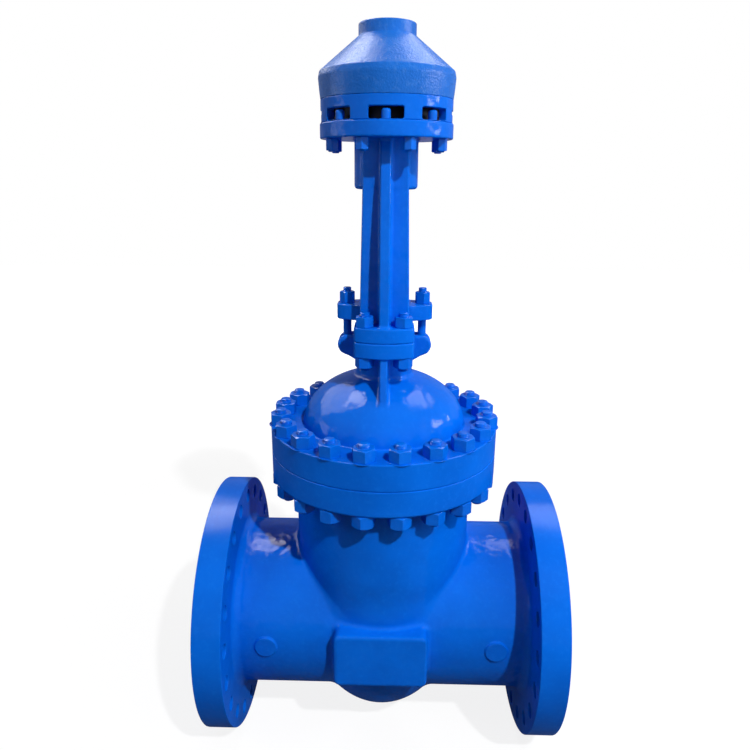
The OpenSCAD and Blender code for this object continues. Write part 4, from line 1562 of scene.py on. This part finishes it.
@dataclass
class Housing:
    """The windowed ring over the yoke and the conical cover bolted through it."""

    works: Works
    ring_z: tuple[float, float] = (1225.6, 1274.3)
    ring_r: float = 146.5
    ring_wall: float = 20.0
    windows: int = 8
    window: tuple[float, float, float] = (36.5, 12.25, 4.0)
    sill: float = 1.5
    knob_r: float = 9.5
    knob_h: float = 20.0
    cover_r: float = 151.0
    wall_h: float = 56.7
    cone_h: float = 71.0
    collar_r: float = 62.5
    collar_h: float = 25.4
    bore_r: float = 33.0
    thick: float = 12.0
    places: Circle = Circle(8, 128.0, 22.5)
    bolting: Bolting = Bolting(9.0, 2.5, 25.0, 25.0, proud=3.0, hidden=5.0)
    under: float = 1192.6

    def ring(self, x: Array, y: Array, z: Array) -> Array:
        """Distance to the ring with its windows.

        Args:
            x: Along the pipe.
            y: From front to rear.
            z: Height.

        Returns:
            Distance, negative inside.
        """
        r, share = np.hypot(x, y), 2 * math.pi / self.windows
        angle = (np.arctan2(x, -y) + share / 2) % share - share / 2
        middle, half_wall = self.ring_r - self.ring_wall / 2, self.ring_wall / 2
        body = meet(np.abs(r - middle) - half_wall, between(z, *self.ring_z), 1.5)
        half_w, half_h, corner = self.window
        window_z = z - self.ring_z[0] - self.sill - half_h
        return cut(body, rounded_box(r * np.sin(angle), window_z, half_w, half_h, corner), 1.2)

    def cover(self) -> Object:
        """Turn the cover.

        Returns:
            The cover.
        """
        z0, inner = self.ring_z[1], self.ring_r - self.ring_wall
        shoulder, shoulder_r = z0 + self.wall_h, (self.cover_r + self.ring_r) / 2
        top, rim = shoulder + self.cone_h, shoulder + self.cone_h + self.collar_h
        lean = self.cone_h / (shoulder_r - self.collar_r)
        lip = top - self.thick * math.hypot(1, lean)
        return turned("cover_casting", outline([
            (inner, z0, 1), (self.ring_r, z0, 1.5), (shoulder_r, z0 + self.wall_h / 3, 30),
            (self.cover_r, z0 + self.wall_h * 0.78, 25), (shoulder_r - 0.5, shoulder, 7),
            (self.collar_r, top, 4), (self.collar_r, rim, 3.5), (self.bore_r, rim, 2), (self.bore_r, lip, 1),
            (self.collar_r, lip, 2), (inner, lip - lean * (inner - self.collar_r), 3)], 7), 200)

    def build(self) -> None:
        """Make the housing, dress it and fit it."""
        works, shop, places, bolting = self.works, self.works.shop, self.places, self.bolting
        (low, high), wide = self.ring_z, self.ring_r
        skin = pour(self.ring, (-wide, -wide, low), (wide, wide, high), 2.2)
        install(cast("windowed_ring", skin), shop.casting, Slot.BLUE, "lantern_ring")
        r, h = self.knob_r, self.knob_h
        corners = [(POLE, -0.5, 0), (r, -0.5, 0), (r, h, r * 0.55), (POLE, h, 0)]
        knob = local(turned("knob", outline(corners, 6), 40))
        knobs = works.ring(knob, Circle(self.windows, wide - self.ring_wall / 2), low + self.sill)
        works.bolt("window_knobs", "lantern_studs", knobs)
        install(self.cover(), shop.rough_casting, Slot.BLUE, "cover")
        nuts = works.ring(bolting.nut(), places, self.under - bolting.nut_h, 25, 21)
        works.bolt("cover_nut_ring", "cover_nuts", nuts)
        ends = works.ring(bolting.end(downward=True), places, self.under, 90, 23)
        works.bolt("cover_bolt_ends", "cover_bolts", ends)


# ---- Studio ----


@dataclass(frozen=True)
class Eye:
    """The camera: where it stands, in millimetres from the middle of the valve, and how it looks."""

    place: tuple[float, float, float] = (15.42, -1586.26, 1120.02)
    pitch: float = 16.775
    yaw: float = -1.371
    roll: float = 0.349
    lens: float = 32.08

    def build(self) -> None:
        """Make the camera and let the scene use it."""
        pitch, yaw, roll = (math.radians(a) for a in (self.pitch, self.yaw, self.roll))
        ahead = Vector((math.sin(yaw) * math.cos(pitch), math.cos(yaw) * math.cos(pitch), -math.sin(pitch)))
        right = Vector((math.cos(yaw), -math.sin(yaw), 0.0))
        up = right.cross(ahead)
        across = right * math.cos(roll) + up * math.sin(roll)
        above = up * math.cos(roll) - right * math.sin(roll)
        data = bpy.data.cameras.new("camera")
        data.lens = self.lens
        data.sensor_width = 36.0
        data.clip_end = 100.0
        camera = bpy.data.objects.new("camera", data)
        turn = Matrix((across, above, -ahead)).transposed().to_4x4()
        camera.matrix_world = Matrix.Translation(Vector(place(self.place))) @ turn
        bpy.context.scene.collection.objects.link(camera)
        bpy.context.scene.camera = camera


class Shine(Enum):
    """What a lamp does: it lights the object, or it is only a pale card that shows in gloss."""

    LIGHT = "light"
    CARD = "card"


@dataclass(frozen=True)
class Lamp:
    """A soft box: the bearing and height it shines from in degrees, its distance, size and power.

    The bearing is 0 in front of the valve and grows towards its right-hand end.
    """

    name: str
    bearing: float
    height: float
    distance: float
    size: tuple[float, float]
    power: float
    target: tuple[float, float, float] = (0.0, 0.0, 500.0)
    shine: Shine = Shine.LIGHT

    def build(self) -> None:
        """Make the lamp and aim it."""
        data = bpy.data.lights.new(self.name, "AREA")
        data.shape = "RECTANGLE"
        data.size, data.size_y = (s * MM for s in self.size)
        data.energy = self.power
        lamp = bpy.data.objects.new(self.name, data)
        turn, lift = math.radians(self.bearing), math.radians(self.height)
        away = Vector((math.sin(turn) * math.cos(lift), -math.cos(turn) * math.cos(lift), math.sin(lift)))
        lamp.location = Vector(place(self.target)) + away * self.distance * MM
        lamp.rotation_euler = away.to_track_quat("Z", "Y").to_euler()
        lamp.visible_glossy = self.shine is Shine.CARD
        lamp.visible_diffuse = self.shine is Shine.LIGHT
        bpy.context.scene.collection.objects.link(lamp)


@dataclass(frozen=True)
class Studio:
    """The floor, the lamps and the white surroundings."""

    floor_z: float = -324.0
    floor_r: float = 9000.0
    paper_r: tuple[float, float] = (1600.0, 3600.0)
    paper_white: float = 0.84
    fill: float = 0.09
    lamps: tuple[Lamp, ...] = (
        Lamp("key", 29.5, 46, 9000, (250, 250), 665),
        Lamp("soft_right", 75, 20, 1600, (1000, 1000), 14.7, (200, 0, 900)),
        Lamp("soft_low", 60, 5, 2000, (1000, 1000), 5, (300, 0, 200)),
        Lamp("soft_bonnet", 32, 30, 1300, (700, 700), 2.1, (70, 0, 560)),
        Lamp("soft_left", -60, 30, 3500, (1500, 1500), 14),
        Lamp("soft_left_end", -100, 8, 2600, (1500, 1500), 13, (-200, 0, 350)),
        Lamp("soft_rear", 180, 9, 6000, (1000, 1600), 170),
        Lamp("card_left", -125, 43, 5000, (4400, 3900), 490, shine=Shine.CARD),
        Lamp("card_left_high", -130, 62, 5000, (2600, 1800), 310, shine=Shine.CARD),
        Lamp("card_right", 133, 56, 5000, (3600, 2000), 280, shine=Shine.CARD),
        Lamp("card_low_left", -88, 5, 4000, (2000, 1200), 44, shine=Shine.CARD),
        Lamp("card_low_right", 87, 7, 4000, (2000, 700), 125, (0, 0, 1500), Shine.CARD),
    )

    def white_where_seen(self, tree: NodeTree, gloss: float = 1.0) -> NodeSocket:
        """Tell rays that show the background from rays that light the object.

        Args:
            tree: The tree that takes the nodes.
            gloss: How much of the background shows in gloss.

        Returns:
            1 for rays that show the background.
        """
        path = add(tree, "ShaderNodeLightPath").outputs
        shown = add(tree, "ShaderNodeMath", {0: path["Is Glossy Ray"], 1: gloss}, operation="MULTIPLY")
        for ray in ("Is Camera Ray", "Is Transmission Ray"):
            rays = {0: path[ray], 1: shown.outputs[0]}
            shown = add(tree, "ShaderNodeMath", rays, operation="MAXIMUM")
        return shown.outputs[0]

    def world(self) -> None:
        """Make the surroundings: a low even fill that is seen as white."""
        world = bpy.data.worlds.new("white_studio")
        world.use_nodes = True
        tree = world.node_tree
        tree.nodes.clear()
        level = add(tree, "ShaderNodeMapRange", {0: self.white_where_seen(tree), 3: self.fill, 4: 1.0})
        sky = add(tree, "ShaderNodeBackground", {"Color": WHITE, "Strength": level.outputs[0]})
        add(tree, "ShaderNodeOutputWorld", {"Surface": sky.outputs[0]})
        bpy.context.scene.world = world

    def floor(self) -> None:
        """Lay the floor: it holds the valve's shadow near by and turns plain white further out."""
        reach, z = self.floor_r, self.floor_z
        corners = [(-reach, -reach, z), (reach, -reach, z), (reach, reach, z), (-reach, reach, z)]
        floor = mesh_object("floor", np.array(corners), np.array([[0, 1, 2, 3]]))
        paper = bpy.data.materials.new("matt_white_paper")
        paper.use_nodes = True
        tree = paper.node_tree
        tree.nodes.clear()
        where = add(tree, "ShaderNodeTexCoord").outputs["Object"]
        away = add(tree, "ShaderNodeVectorMath", {0: where}, operation="LENGTH").outputs["Value"]
        near, far = (r * MM for r in self.paper_r)
        white = {0: away, 1: near, 2: far, 3: self.paper_white, 4: 1.0}
        level = {0: self.white_where_seen(tree, 0.1), 1: add(tree, "ShaderNodeMapRange", white).outputs[0]}
        seen = add(tree, "ShaderNodeMath", level, operation="MULTIPLY")
        matt = add(tree, "ShaderNodeBsdfDiffuse", {"Color": (0.18, 0.18, 0.18, 1.0)})
        glow = add(tree, "ShaderNodeEmission", {"Color": WHITE, "Strength": seen.outputs[0]})
        both = add(tree, "ShaderNodeAddShader", {0: matt.outputs[0], 1: glow.outputs[0]})
        add(tree, "ShaderNodeOutputMaterial", {"Surface": both.outputs[0]})
        floor.data.materials.append(paper)

    def build(self) -> None:
        """Make the whole studio."""
        bpy.context.scene.view_settings.view_transform = "Standard"
        self.world()
        self.floor()
        for lamp in self.lamps:
            lamp.build()


def main() -> None:
    """Build the valve from the pipe up, then the studio."""
    logging.basicConfig(level=logging.INFO, format="%(message)s")
    Eye().build()
    works = Works(Paintshop(), ring_tree())
    for assembly in (Body, Bonnet, Joint, Gland, Yoke, Stem, Housing):
        assembly(works).build()
        LOG.info("%s is done", assembly.__name__)
    works.clear()
    Studio().build()


if __name__ == "__main__":
    main()
